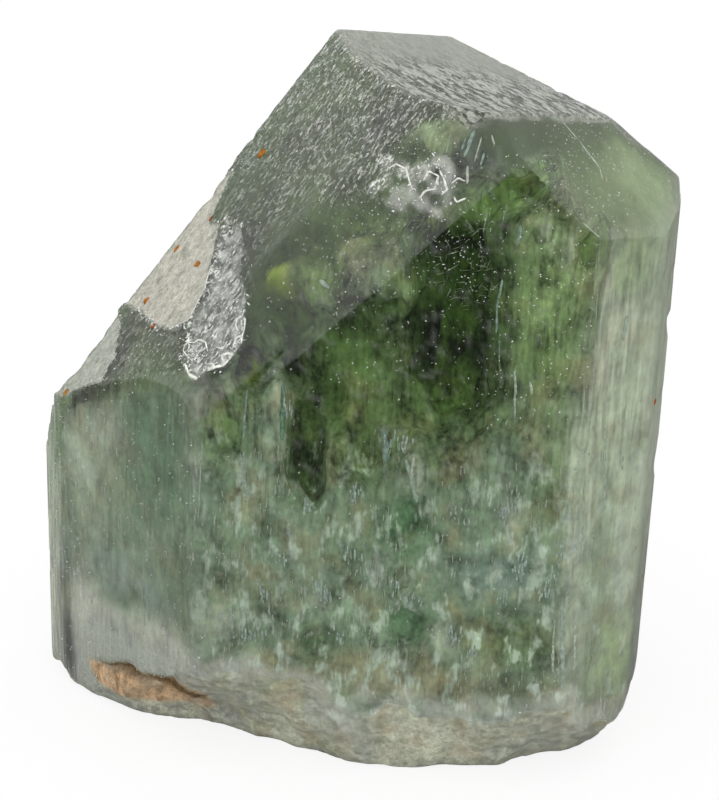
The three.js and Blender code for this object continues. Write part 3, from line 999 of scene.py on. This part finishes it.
def zoned(points, face):
    """Depth at which the milk starts behind a face, and its colour there."""
    depth = np.full(len(points), MILK_START)
    tint = np.zeros((len(points), 3))
    spots = on_face(points, face)
    for x, y, half_x, half_y, lean, deep, strength, colour in ZONES[face]:
        turn = math.radians(lean)
        away = spots - (x, y)
        away = away @ [[math.cos(turn), -math.sin(turn)], [math.sin(turn), math.cos(turn)]]
        here = strength * np.exp(-(((away / (half_x, half_y)) ** 2).sum(axis=1) ** ZONE_CRISPNESS))
        depth += here * (deep - depth)
        lay(colour, tint, here)
    return depth, tint


def stirred(points):
    """Points moved about by swirls, which make the zones' edges ragged."""
    moved = points
    for by, size, seeds in SWIRLS:
        moved = moved + by * np.column_stack([grain(points, size, seed) for seed in seeds])
    return moved


def milk_solid(points):
    """Above zero inside the milk, in mm near its surface. It is shallower near the foot."""
    gaps = face_gaps(points)
    above_foot = np.full(len(points), FAR)
    low = points[:, 2] < FOOT_TOP
    above_foot[low] = points[low, 2] - foot_height(points[low])
    shallow = 1 - (1 - FOOT_SHARE) * falling(above_foot, *FOOT_SHALLOWS)
    inside = faces_solid(points) - MILK_START
    inside[low] = np.minimum(inside[low], above_break(points[low]) - ABOVE_FOOT)
    near = inside > -MILK_REACH
    spots = stirred(points[near])
    rough = sum(high * grain(spots, size, seed) for high, size, seed in MILK_LUMPS)
    for face in ZONES:
        behind = gaps[near, face_names.index(face)] - zoned(spots, face)[0] * shallow[near]
        inside[near] = np.minimum(inside[near], behind + rough)
    return inside


places, quads = skin(milk_solid, box_low, box_high, MILK_GRID)
milk = piece_of("milk", places, quads)
face_gap = face_gaps(places)
start = np.column_stack([zoned(places, face)[0] for face in FACES])
share = shares_of(face_gap - start, MILK_BLEND)
spots = stirred(places)
milk_tint = sum(share[face][:, None] * zoned(spots, face)[1] for face in FACES)
mark(milk, "milk_tint", milk_tint)

# Where flecks stand, where bluish clumps and streaks show, where the milk is mottled, and
# where hairs float in front of it.
FLECKS_BELOW = (11, 15)
CLUMPS_BELOW = (10, 14)
STREAKS_ABOVE = (8, 14)
FLECKS_OFF_FOOT = (0.8, 1.4)
GEM_MIDDLE = (4.1, 18.9)
GEM_HALF_SIZES = (1.9, 2.3)
HAIRS_BEHIND = (2.5, 2.7)
x, _, z = places.T
rear = share["back"] + share["back right prism"] + share["back left steep"]
both_prisms = share["left prism"] + share["right prism"]
upright = np.clip(share["front"] + both_prisms + share["right side"], 0, 1)
pale = falling(0.45 - milk_tint.mean(axis=1), 0, 0.15)
off_foot = 1 - falling(z - foot_height(places), *FLECKS_OFF_FOOT)
in_groups = np.clip(grain(places, (1.6, 1.6, 2.2), 30) + 0.35, 0, 1)
clumped = share["front"] + 0.8 * rear + 0.2 * share["left prism"] + 0.8 * share["right prism"]
streaked = upright * (1.2 - 0.8 * falling(z, *STREAKS_ABOVE)) * (1 - 0.75 * share["left prism"])
from_gem = np.hypot((x - GEM_MIDDLE[0]) / GEM_HALF_SIZES[0], (z - GEM_MIDDLE[1]) / GEM_HALF_SIZES[1])
gem_around = share["front"] * falling(milk_tint[:, 1], 0.25, 0.5)
behind_front = face_gap[:, face_names.index("front")]
for name, values in {
    "flecked": off_foot * upright * falling(z, *FLECKS_BELOW) * pale * in_groups,
    "clumped": clumped * falling(z, *CLUMPS_BELOW),
    "streaked": streaked + 0.9 * share["left slope"] + 0.9 * rear,
    "mottled": (
        0.25 + 0.65 * share["front"] + 0.8 * gem_around + 0.9 * share["left slope"] + 0.8 * rear
        + 0.35 * both_prisms
    ),
    "haired": falling(from_gem, 0.5, 1.0) * share["front"] * (1 - falling(behind_front, *HAIRS_BEHIND)),
}.items():
    mark(milk, name, values)

WARM_VEIL = (0.56, 0.47, 0.33, 1)
BLUISH_VEIL = (0.86, 0.94, 0.95, 1)
DARKEST_SHADE = 0.25
cloud, tree = new_finish("milky veils")
where = in_mm(tree)
mottled = marked(tree, "mottled")
patchy = mottle(tree, where, 0.9, 3.0, 0.55)
cloudy = mottle(tree, stretched(tree, where, (2.0, 2.0, 1.2)), 1.0, 2.0, 0.5)
fine = mottle(tree, stretched(tree, where, (7.0, 7.0, 4.5)), 1.0, 2.0, 0.6)
streaky = mottle(tree, stretched(tree, where, (5.5, 5.5, 0.55)), 1.0, 2.0, 0.5)
shade = 1.0
for strength, texture, amount in (
    (mottled, patchy, 0.44),
    (mottled, cloudy, 0.22),
    (mottled, fine, 0.20),
    (marked(tree, "streaked"), streaky, 0.28),
):
    swing = between(tree, texture, 0.3, 0.7, -1.0, 1.0)
    shade = sum_of(tree, [(product(tree, strength, swing), amount)], shade)
shade = wire(tree, "ShaderNodeMath", {0: shade, 1: DARKEST_SHADE}, operation="MAXIMUM").outputs[0]
own = marked(tree, "milk_tint", "Color")
lightness = wire(tree, "ShaderNodeSeparateXYZ", {0: own}).outputs["Y"]
pale = between(tree, lightness, 0.2, 0.5)
earthy = between(tree, mottle(tree, where, 0.7, 2.0, 0.5), 0.5, 0.66, 0.0, 0.6)
warm = blend(tree, product(tree, product(tree, mottled, pale), earthy), own, WARM_VEIL)
clump = mottle(tree, stretched(tree, where, (1.7, 1.7, 0.9)), 1.0, 2.0, 0.55)
brushed = mottle(tree, stretched(tree, where, (9.0, 9.0, 1.6)), 1.0, 2.0, 0.5)
bluish = between(tree, sum_of(tree, [(clump, 0.75), (brushed, 0.25)]), 0.53, 0.62, 0.0, 0.95)
cool = blend(tree, product(tree, marked(tree, "clumped"), bluish), warm, BLUISH_VEIL)
veil = wire(tree, "ShaderNodeBsdfDiffuse", {"Color": scaled(tree, cool, shade)})
wire(tree, "ShaderNodeOutputMaterial", {"Surface": veil.outputs[0]})
milk.data.materials.append(cloud)
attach(milk, "root")

# Flecks: thin bluish-white blades of gas-filled hollows stand upright at the milk's surface,
# thickest low behind the front and the sides, where the milk is pale.
NEARLY_UPRIGHT = (0.15, 0.15, 3.1)
NO_DRIFT = Vector((0, 0, 0))
MOST_FACES = 200000


def spindle(name, radii, sides=5, bend=0.0):
    """A closed spindle of unit length along Z, with these radii, and bent by an angle."""
    rows = len(radii)
    corners = []
    for row, radius in enumerate(radii):
        at = row / (rows - 1) - 0.5
        if bend:
            middle = ((1 - math.cos(at * bend)) / bend, math.sin(at * bend) / bend)
            out = (math.cos(at * bend), -math.sin(at * bend))
        else:
            middle, out = (0, at), (1, 0)
        for side in range(sides):
            turn = 2 * math.pi * (side + 0.5 * (row % 2)) / sides
            push = radius * math.cos(turn)
            x, z = middle[0] + push * out[0], middle[1] + push * out[1]
            corners.append((x, radius * math.sin(turn), z))
    faces = [list(range(sides))[::-1], list(range((rows - 1) * sides, rows * sides))]
    for row in range(rows - 1):
        for side in range(sides):
            one, two = row * sides + side, row * sides + (side + 1) % sides
            faces.append([one, two, two + sides, one + sides])
    return piece_of(name, np.array(corners) / MM, faces)


def strewn(name, ground, shape, material, **settings):
    """Copies of a small shape strewn over the ground, most where its mark is strong, as one mesh."""
    tree = bpy.data.node_groups.new(name, "GeometryNodeTree")
    kinds = {
        "Ground": "Geometry", "Shape": "Object", "Material": "Material", "Mark": "String",
        "Per square metre": "Float", "Smallest": "Vector", "Largest": "Vector", "Turned": "Vector",
        "Drift": "Vector", "Lift": "Float", "Seed": "Int",
    }
    sockets = {}
    for label, kind in kinds.items():
        sockets[label] = tree.interface.new_socket(label, in_out="INPUT", socket_type="NodeSocket" + kind)
    tree.interface.new_socket("Strewn", in_out="OUTPUT", socket_type="NodeSocketGeometry")
    given = tree.nodes.new("NodeGroupInput").outputs
    strength = wire(tree, "GeometryNodeInputNamedAttribute", {"Name": given["Mark"]}, data_type="FLOAT")
    density = product(tree, strength.outputs[0], given["Per square metre"])
    spots = wire(tree, "GeometryNodeDistributePointsOnFaces", {
        "Mesh": given["Ground"], "Density": density, "Seed": given["Seed"],
    })

    def any_between(low, high):
        ends = {"Min": low, "Max": high, "Seed": given["Seed"]}
        return wire(tree, "FunctionNodeRandomValue", ends, data_type="FLOAT_VECTOR").outputs[0]

    drift = any_between(NO_DRIFT, given["Drift"])
    lift = scaled(tree, spots.outputs["Normal"], given["Lift"])
    move = wire(tree, "ShaderNodeVectorMath", {0: drift, 1: lift}, operation="ADD").outputs[0]
    moved = wire(tree, "GeometryNodeSetPosition", {"Geometry": spots.outputs["Points"], "Offset": move})
    turn = any_between(scaled(tree, given["Turned"], -1.0), given["Turned"])
    turn = wire(tree, "FunctionNodeEulerToRotation", {0: turn}).outputs[0]
    if settings.pop("flat_on_ground", False):
        turn = wire(tree, "FunctionNodeRotateRotation", {
            0: spots.outputs["Rotation"], 1: turn,
        }, rotation_space="LOCAL").outputs[0]
    size = any_between(given["Smallest"], given["Largest"])
    one = wire(tree, "GeometryNodeObjectInfo", {"Object": given["Shape"]}).outputs["Geometry"]
    copies = wire(tree, "GeometryNodeInstanceOnPoints", {
        "Points": moved.outputs[0], "Instance": one, "Rotation": turn, "Scale": size,
    })
    real = wire(tree, "GeometryNodeRealizeInstances", {"Geometry": copies.outputs[0]}).outputs[0]
    painted = wire(tree, "GeometryNodeSetMaterial", {"Geometry": real, "Material": given["Material"]})
    wire(tree, "NodeGroupOutput", {0: painted.outputs[0]})

    piece = bpy.data.objects.new(name, ground.data.copy())
    bpy.context.scene.collection.objects.link(piece)
    strewing = piece.modifiers.new("strewing", "NODES")
    strewing.node_group = tree
    for label, value in {"Shape": shape, "Material": material, **settings}.items():
        strewing[sockets[label.replace("_", " ")].identifier] = value
    shown = piece.evaluated_get(bpy.context.evaluated_depsgraph_get())
    mesh = bpy.data.meshes.new_from_object(shown)
    piece.modifiers.remove(strewing)
    piece.data = mesh
    spare = [
        each.name for each in mesh.attributes
        if not each.name.startswith(".") and each.name != "position" and not each.is_required
    ]
    for attribute in spare:
        mesh.attributes.remove(mesh.attributes[attribute])
    bpy.data.objects.remove(shape)
    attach(piece, "root")
    assert len(mesh.polygons) < MOST_FACES, name
    return piece


def plain(name, colour):
    """A matt material of one colour."""
    material, tree = new_finish(name)
    matt = wire(tree, "ShaderNodeBsdfDiffuse", {"Color": (*colour, 1)})
    wire(tree, "ShaderNodeOutputMaterial", {"Surface": matt.outputs[0]})
    return material


blade = spindle("blade", [0.01, 0.32, 0.5, 0.36, 0.42, 0.01], sides=4)
strewn(
    "flecks", milk, blade, plain("bluish white flecks", (0.70, 0.86, 0.84)),
    Mark="flecked", Per_square_metre=14e6, Smallest=Vector((0.03, 0.02, 0.06)) * MM,
    Largest=Vector((0.10, 0.05, 0.40)) * MM, Turned=NEARLY_UPRIGHT, Drift=Vector((0, -0.15, 0)) * MM,
    Lift=0.02 * MM, Seed=3,
)

# Hairs: straight white fibres and specks, thinner than a hair, are sealed in the clear green
# zone. They float up to 2 mm in front of the milk behind it, at every angle.
ANY_WAY = (3.1, 3.1, 3.1)
hair = spindle("hair", [0.004, 0.016, 0.016, 0.004], sides=3)
strewn(
    "hairs", milk, hair, plain("white hairs", (0.92, 0.95, 0.86)),
    Mark="haired", Per_square_metre=14.0e6, Smallest=Vector((0.5, 0.5, 0.02)) * MM,
    Largest=Vector((1.0, 1.0, 0.5)) * MM, Turned=ANY_WAY, Drift=Vector((0, -2.1, 0)) * MM,
    Lift=0.0, Seed=11,
)

# Dust: bright specks no wider than a hair lie loose on the smooth faces and the slope, most of
# all high on the front.
speck = spindle("speck", [0.2, 0.5, 0.2], sides=4)
strewn(
    "dust", crystal, speck, plain("white dust", (0.75, 0.78, 0.70)),
    Mark="dusty", Per_square_metre=20e6, Smallest=Vector((0.01, 0.01, 0.01)) * MM,
    Largest=Vector((0.05, 0.04, 0.07)) * MM, Turned=ANY_WAY, Drift=NO_DRIFT,
    Lift=0.01 * MM, Seed=5,
)

# Crust: white crystallised matter stands as small lumpy curls along the trough's lower rim and
# in the etched patches, grown onto the crystal.
NEARLY_FLAT = (0.5, 0.5, 3.1)
curl = spindle("curl", [0.03, 0.10, 0.13, 0.12, 0.09, 0.03], sides=5, bend=2.6)
strewn(
    "crust", crystal, curl, plain("white crust", (0.58, 0.61, 0.54)),
    Mark="crusted", Per_square_metre=26e6, Smallest=Vector((0.07, 0.07, 0.07)) * MM,
    Largest=Vector((0.26, 0.26, 0.26)) * MM, Turned=NEARLY_FLAT, Drift=NO_DRIFT,
    Lift=0.0, Seed=8, flat_on_ground=True,
)

# Crust ridges: the same white matter stands as thin rounded ridges on the rims of the trough
# and the shelf and round the etched patches, grown onto the crystal.
STRAND_SIDES = 6
STRAND_STEP = 0.07
LEAST_STEPS = 7
STRAND_WOBBLE = 0.03
STRAND_LUMPS = 0.5
LEAST_LUMP = 0.14
STRAND_TAPER = 0.97
PASSES_TO_SKIN = 5


def strand(face, path, width, depth, flat, seed):
    """Corners and faces of a lumpy closed strand, at a depth behind the skin of a face."""
    row = face_names.index(face)
    spots = np.array(path, dtype=float)
    passed = np.concatenate([[0], np.cumsum(np.linalg.norm(np.diff(spots, axis=0), axis=1))])
    steps = np.linspace(0, passed[-1], max(LEAST_STEPS, int(passed[-1] / STRAND_STEP)))
    line = np.column_stack([np.interp(steps, passed, spots[:, k]) for k in range(2)])
    middle = line @ np.array([along[row], upward[row]]) + reach[row] * normals[row]
    wobble = np.column_stack([grain(middle, 0.3, seed + k) for k in range(3)])
    middle += min(0.35 * width, STRAND_WOBBLE) * wobble
    for _ in range(PASSES_TO_SKIN):
        middle = middle + crystal_solid(middle)[:, None] * normals[row]
    middle -= depth * normals[row]
    ahead = np.gradient(middle, axis=0)
    side = np.cross(normals[row], ahead)
    side /= np.linalg.norm(side, axis=1, keepdims=True)
    rounding = np.sqrt(1 - STRAND_TAPER * np.abs(2 * steps / passed[-1] - 1) ** 4)
    lumps = STRAND_LUMPS * grain(middle, max(LEAST_LUMP, 0.8 * width), seed + 3)
    radius = width / 2 * rounding * (1 + lumps)
    turns = 2 * np.pi * np.arange(STRAND_SIDES) / STRAND_SIDES
    ring = np.cos(turns)[:, None] * side[:, None] + flat * np.sin(turns)[:, None] * normals[row]
    corners = (middle[:, None] + radius[:, None, None] * ring).reshape(-1, 3)
    ends = np.arange(STRAND_SIDES)
    faces = [list(ends[::-1]), list(ends + len(corners) - STRAND_SIDES)]
    for start in range(0, len(corners) - STRAND_SIDES, STRAND_SIDES):
        for one, two in zip(ends, np.roll(ends, -1)):
            pair = [start + one, start + two]
            faces.append(pair + [corner + STRAND_SIDES for corner in pair[::-1]])
    return corners, faces


def joined(name, strands, tints, material):
    """One piece of many strands, each with its own colour."""
    corners, faces, colours, first = [], [], [], 0
    for (own_corners, own_faces), tint in zip(strands, tints):
        corners.append(own_corners)
        faces += [[first + corner for corner in face] for face in own_faces]
        colours.append(np.full((len(own_corners), 3), tint))
        first += len(own_corners)
    piece = piece_of(name, np.concatenate(corners), faces)
    mark(piece, "own_tint", np.concatenate(colours))
    piece.data.materials.append(material)
    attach(piece, "root")
    return piece


def tinted(name, unevenness):
    """A matt material that takes each strand's own colour, made uneven."""
    material, tree = new_finish(name)
    uneven = between(tree, mottle(tree, in_mm(tree), 7.0, 2.0), 0.3, 0.7, 1 - unevenness, 1 + unevenness)
    tint = scaled(tree, marked(tree, "own_tint", "Color"), uneven)
    matt = wire(tree, "ShaderNodeBsdfDiffuse", {"Color": tint})
    wire(tree, "ShaderNodeOutputMaterial", {"Surface": matt.outputs[0]})
    return material


RIM_WHITE = (0.66, 0.68, 0.62)
# Each ridge's face, its width in mm, and its path along and up the face.
RIDGES = [
    ("left slope", 0.09, [(2.9, 9.7), (3.1, 9.3), (3.2, 8.9)]),
    ("left slope", 0.12, [(3.1, 8.4), (3.0, 8.0), (2.6, 7.5)]),
    ("left slope", 0.10, [(2.4, 7.1), (2.1, 7.0), (1.6, 7.2)]),
    ("left slope", 0.06, [(1.7, 7.4), (1.2, 7.5), (1.0, 7.8), (1.2, 8.1), (1.6, 8.2), (2.0, 8.0)]),
    ("left slope", 0.08, [(2.5, 9.8), (2.3, 9.5), (2.4, 9.3), (2.7, 9.2)]),
    ("left slope", 0.08, [(3.0, 9.2), (2.8, 9.0), (2.8, 8.7), (3.0, 8.7)]),
    ("left slope", 0.09, [(3.1, 8.5), (2.8, 8.4), (2.6, 8.2), (2.9, 8.0)]),
    ("left slope", 0.07, [(2.5, 8.7), (2.5, 8.4), (2.2, 8.3)]),
    ("left slope", 0.08, [(2.8, 7.7), (2.5, 7.8), (2.3, 7.7)]),
    ("left slope", 0.05, [(-0.9, 10.3), (-0.2, 9.6), (0.2, 8.4), (-0.5, 7.7)]),
    ("left slope", 0.06, [(4.6, 16.2), (4.9, 16.6), (5.4, 16.6), (5.9, 16.2)]),
    ("front", 0.07, [(2.6, 21.2), (2.8, 21.5), (3.2, 21.6)]),
    ("front", 0.07, [(2.7, 21.8), (2.9, 22.1), (3.2, 22.0), (3.1, 21.7)]),
    ("front", 0.08, [(3.3, 21.4), (3.5, 21.6), (3.2, 22.2)]),
    ("front", 0.07, [(3.7, 21.4), (3.8, 21.2), (4.1, 21.4)]),
    ("front", 0.06, [(3.6, 21.8), (3.8, 22.0), (4.0, 21.9)]),
]
ridges = [strand(face, path, width, 0, 0.7, 60 + row) for row, (face, width, path) in enumerate(RIDGES)]
joined("crust_ridges", ridges, [RIM_WHITE] * len(RIDGES), tinted("white ridges", 0.3))

# Threads: bluish needles of gas-filled hollows stand upright in brush-like clumps, sealed in
# just behind the front, and behind the back in the same way.
THREAD_WIDTH = 0.055
THREAD_LEAN = 0.02
THREAD_LENGTHS = (0.1, 0.45)
THREAD_DEPTHS = (0.06, 0.22)
THREAD_TINT = (0.66, 0.75, 0.78)
# Each clump's middle and half sizes in mm along and up the face, and how many threads it has.
CLUMPS = [
    (-3.1, 6.1, 0.6, 0.4, 14), (-2.6, 5.3, 0.5, 0.4, 12), (0, 7, 0.3, 0.4, 16),
    (-0.3, 7.4, 0.3, 0.3, 8), (0.8, 8.6, 0.4, 0.4, 10), (0.9, 10.9, 0.2, 0.4, 10),
    (-0.7, 10.4, 0.3, 0.4, 10), (2.4, 7.5, 0.3, 0.6, 10), (2.4, 12.8, 0.3, 0.4, 10),
    (1.9, 12.8, 0.2, 0.4, 8), (4.4, 10.3, 0.3, 0.4, 8), (6, 10.6, 0.5, 0.4, 16),
    (6.6, 8.4, 0.3, 0.6, 14), (7.5, 7.9, 0.3, 0.8, 14), (4.5, 5.8, 0.4, 0.4, 12),
    (5.1, 5.2, 0.3, 0.3, 8), (2.9, 7, 0.3, 0.4, 8), (-1.6, 8.4, 0.3, 0.4, 8),
    (-2.1, 6.9, 0.3, 0.4, 8), (-3.6, 3.2, 0.3, 0.3, 5), (0.5, 5.5, 0.3, 0.4, 8),
    (6, 7.4, 0.3, 0.4, 8), (7.9, 9, 0.2, 1.1, 12), (-2.9, 11.3, 0.2, 0.8, 8),
    (8.9, 7.6, 0.2, 1.1, 10), (-1.4, 13.6, 0.2, 0.6, 6),
]
threads = [
    (face, (x + across, y + up), (x + across + lean, y + up + length), depth)
    for face in ("front", "back")
    for x, y, half_x, half_y, count in CLUMPS
    for across, up, lean, length, depth in zip(
        RNG.normal(0, 0.5 * half_x, count),
        RNG.normal(0, 0.5 * half_y, count),
        RNG.normal(0, THREAD_LEAN, count),
        RNG.uniform(*THREAD_LENGTHS, count),
        RNG.uniform(*THREAD_DEPTHS, count),
    )
]
brushed_threads = [
    strand(face, (start, end), THREAD_WIDTH, depth, 0.5, 200 + row)
    for row, (face, start, end, depth) in enumerate(threads)
]
joined("threads", brushed_threads, [THREAD_TINT] * len(threads), tinted("bluish threads", 0.4))

# Painted glints: thin plates of fluid, flat cracks and worn edges just behind the faces are drawn as
# fine matt lines whose brightness is a painted highlight, standing in for the light they catch.
GLINT_WHITE = (0.85, 0.90, 0.84)
GLINT_DULL = (0.58, 0.68, 0.62)
GLINT_BLUE_GREEN = (0.42, 0.58, 0.55)
GLINT_DEEP_GREEN = (0.26, 0.42, 0.32)
# Each one's face, its two ends in mm along and up the face, its width and depth, and its painted glint
# colour.
PAINTED_GLINT_LINES = [
    ("front", (5.4, 18.8), (5.3, 18.1), 0.07, 0.15, GLINT_BLUE_GREEN),
    ("front", (5.3, 18.1), (5.3, 16.9), 0.08, 0.15, GLINT_BLUE_GREEN),
    ("front", (5.4, 16.9), (5.5, 15.6), 0.05, 0.2, GLINT_DEEP_GREEN),
    ("front", (6.0, 15.9), (6.1, 13.9), 0.06, 0.12, GLINT_DULL),
    ("front", (6.0, 15.7), (6.1, 14.9), 0.08, 0.12, GLINT_WHITE),
    ("front", (6.5, 15.4), (6.6, 14.9), 0.07, 0.12, GLINT_WHITE),
    ("front", (2.6, 12.4), (3.0, 10.8), 0.19, 0.2, GLINT_DULL),
    ("front", (2.8, 12.5), (2.8, 11.7), 0.10, 0.12, GLINT_WHITE),
    ("front", (1.8, 13.4), (1.9, 12.2), 0.22, 0.3, GLINT_BLUE_GREEN),
    ("front", (-2.9, 12.4), (-2.8, 10.5), 0.08, 0.15, GLINT_DULL),
    ("front", (-2.8, 14.5), (-2.9, 12.8), 0.07, 0.2, GLINT_BLUE_GREEN),
    ("front", (-1.6, 14.8), (-1.6, 12.8), 0.17, 0.3, GLINT_DEEP_GREEN),
    ("front", (7.8, 20.8), (8.4, 20.3), 0.04, 0.03, GLINT_WHITE),
    ("front", (4.8, 21.1), (4.7, 20.3), 0.04, 0.1, GLINT_DULL),
    ("front", (5.4, 21.3), (5.3, 20.7), 0.04, 0.1, GLINT_DULL),
    ("front", (5.9, 20.6), (5.8, 19.9), 0.10, 0.2, GLINT_BLUE_GREEN),
    ("front", (8.4, 19.9), (8.5, 17.2), 0.04, 0.06, GLINT_DULL),
    ("front", (8.5, 17.2), (8.6, 14.5), 0.04, 0.06, GLINT_DULL),
    ("front", (-4.3, 12.7), (-4.4, 9.8), 0.04, 0.05, GLINT_DULL),
    ("front", (7.9, 6.8), (8.0, 4.6), 0.07, 0.1, GLINT_WHITE),
    ("right prism", (1.4, 7.6), (1.6, 4.0), 0.19, 0.12, GLINT_DULL),
    ("right prism", (2.0, 7.0), (2.1, 4.6), 0.09, 0.1, GLINT_WHITE),
    ("right prism", (3.4, 17.4), (3.3, 16.5), 0.19, 0.15, GLINT_DULL),
    ("right prism", (2.7, 13.8), (3.1, 10.1), 0.10, 0.12, GLINT_DULL),
    ("right prism", (1.8, 12.3), (2.1, 8.9), 0.09, 0.12, GLINT_DULL),
    ("left prism", (0.6, 12.1), (0.7, 11.3), 0.09, 0.12, GLINT_DULL),
    ("front", (4.8, 23.4), (4.9, 23.1), 0.05, 0.03, GLINT_WHITE),
    ("front", (4.1, 22.4), (4.1, 21.8), 0.10, 0.05, GLINT_WHITE),
    ("front", (4.3, 23.5), (4.0, 22.6), 0.10, 0.25, GLINT_BLUE_GREEN),
    ("front", (4.5, 23.3), (4.3, 22.5), 0.05, 0.10, GLINT_WHITE),
    ("front", (4.0, 23.2), (3.9, 22.8), 0.07, 0.15, GLINT_BLUE_GREEN),
    ("front", (4.6, 22.8), (4.5, 22.4), 0.08, 0.15, GLINT_BLUE_GREEN),
    ("front", (3.5, 23.3), (3.4, 22.7), 0.05, 0.05, GLINT_DULL),
    ("left slope", (1.2, 16.8), (1.7, 16.7), 0.05, 0.02, GLINT_WHITE),
    ("front", (-0.5, 18.3), (-0.2, 18.1), 0.15, 0.10, GLINT_DULL),
    ("back", (-3.0, 14.2), (-3.1, 12.6), 0.08, 0.12, GLINT_WHITE),
    ("back", (-5.2, 17.5), (-5.1, 14.4), 0.06, 0.15, GLINT_BLUE_GREEN),
    ("back", (1.4, 12.8), (1.3, 11.5), 0.16, 0.2, GLINT_DULL),
    ("back", (4.6, 9.2), (4.5, 7.4), 0.07, 0.1, GLINT_WHITE),
    ("back left steep", (-2.6, 15.8), (-2.3, 13.9), 0.07, 0.12, GLINT_WHITE),
    ("back left steep", (1.8, 17.2), (2.0, 15.6), 0.10, 0.2, GLINT_BLUE_GREEN),
    ("back left steep", (-4.5, 10.4), (-4.4, 8.8), 0.16, 0.2, GLINT_DULL),
    ("right slope", (1.9, 13.0), (2.2, 12.2), 0.05, 0.02, GLINT_WHITE),
    ("right slope", (2.2, 12.2), (2.5, 11.1), 0.06, 0.04, GLINT_WHITE),
    ("right slope", (2.5, 11.1), (2.3, 10.7), 0.05, 0.04, GLINT_WHITE),
]
flashes = [
    strand(face, (start, end), width, depth, 0.4, 80 + row)
    for row, (face, start, end, width, depth, _) in enumerate(PAINTED_GLINT_LINES)
]
joined("flashes", flashes, [flash[-1] for flash in PAINTED_GLINT_LINES], tinted("painted glint lines", 0.35))

# Iron specks: small flat grains of orange-brown iron oxide sit in pits of the slope and of the
# right side, where iron-bearing water dried.
RUST = (0.34, 0.13, 0.025)
RED_RUST = (0.30, 0.07, 0.03)
# Each one's face, its place in mm along and up the face, its width and its colour.
SPECKS = [
    ("left slope", -4.5, 3.4, 0.26, RUST),
    ("left slope", -3.8, 7.9, 0.30, RUST),
    ("left slope", -4.5, 10.1, 0.26, RUST),
    ("left slope", -2.2, 10.1, 0.34, RUST),
    ("left slope", -1.7, 7.4, 0.20, RED_RUST),
    ("left slope", -3.4, 11.7, 0.16, RED_RUST),
    ("left slope", -3.3, 14.7, 0.34, RUST),
    ("right side", -3.3, 13.8, 0.22, RED_RUST),
]
specks = [
    strand(face, ((x - width / 2, y), (x + 0.45 * width, y + 0.1 * width)), width, 0, 0.25, 140 + row)
    for row, (face, x, y, width, _) in enumerate(SPECKS)
]
joined("iron_specks", specks, [speck[-1] for speck in SPECKS], tinted("iron oxide", 0.4))
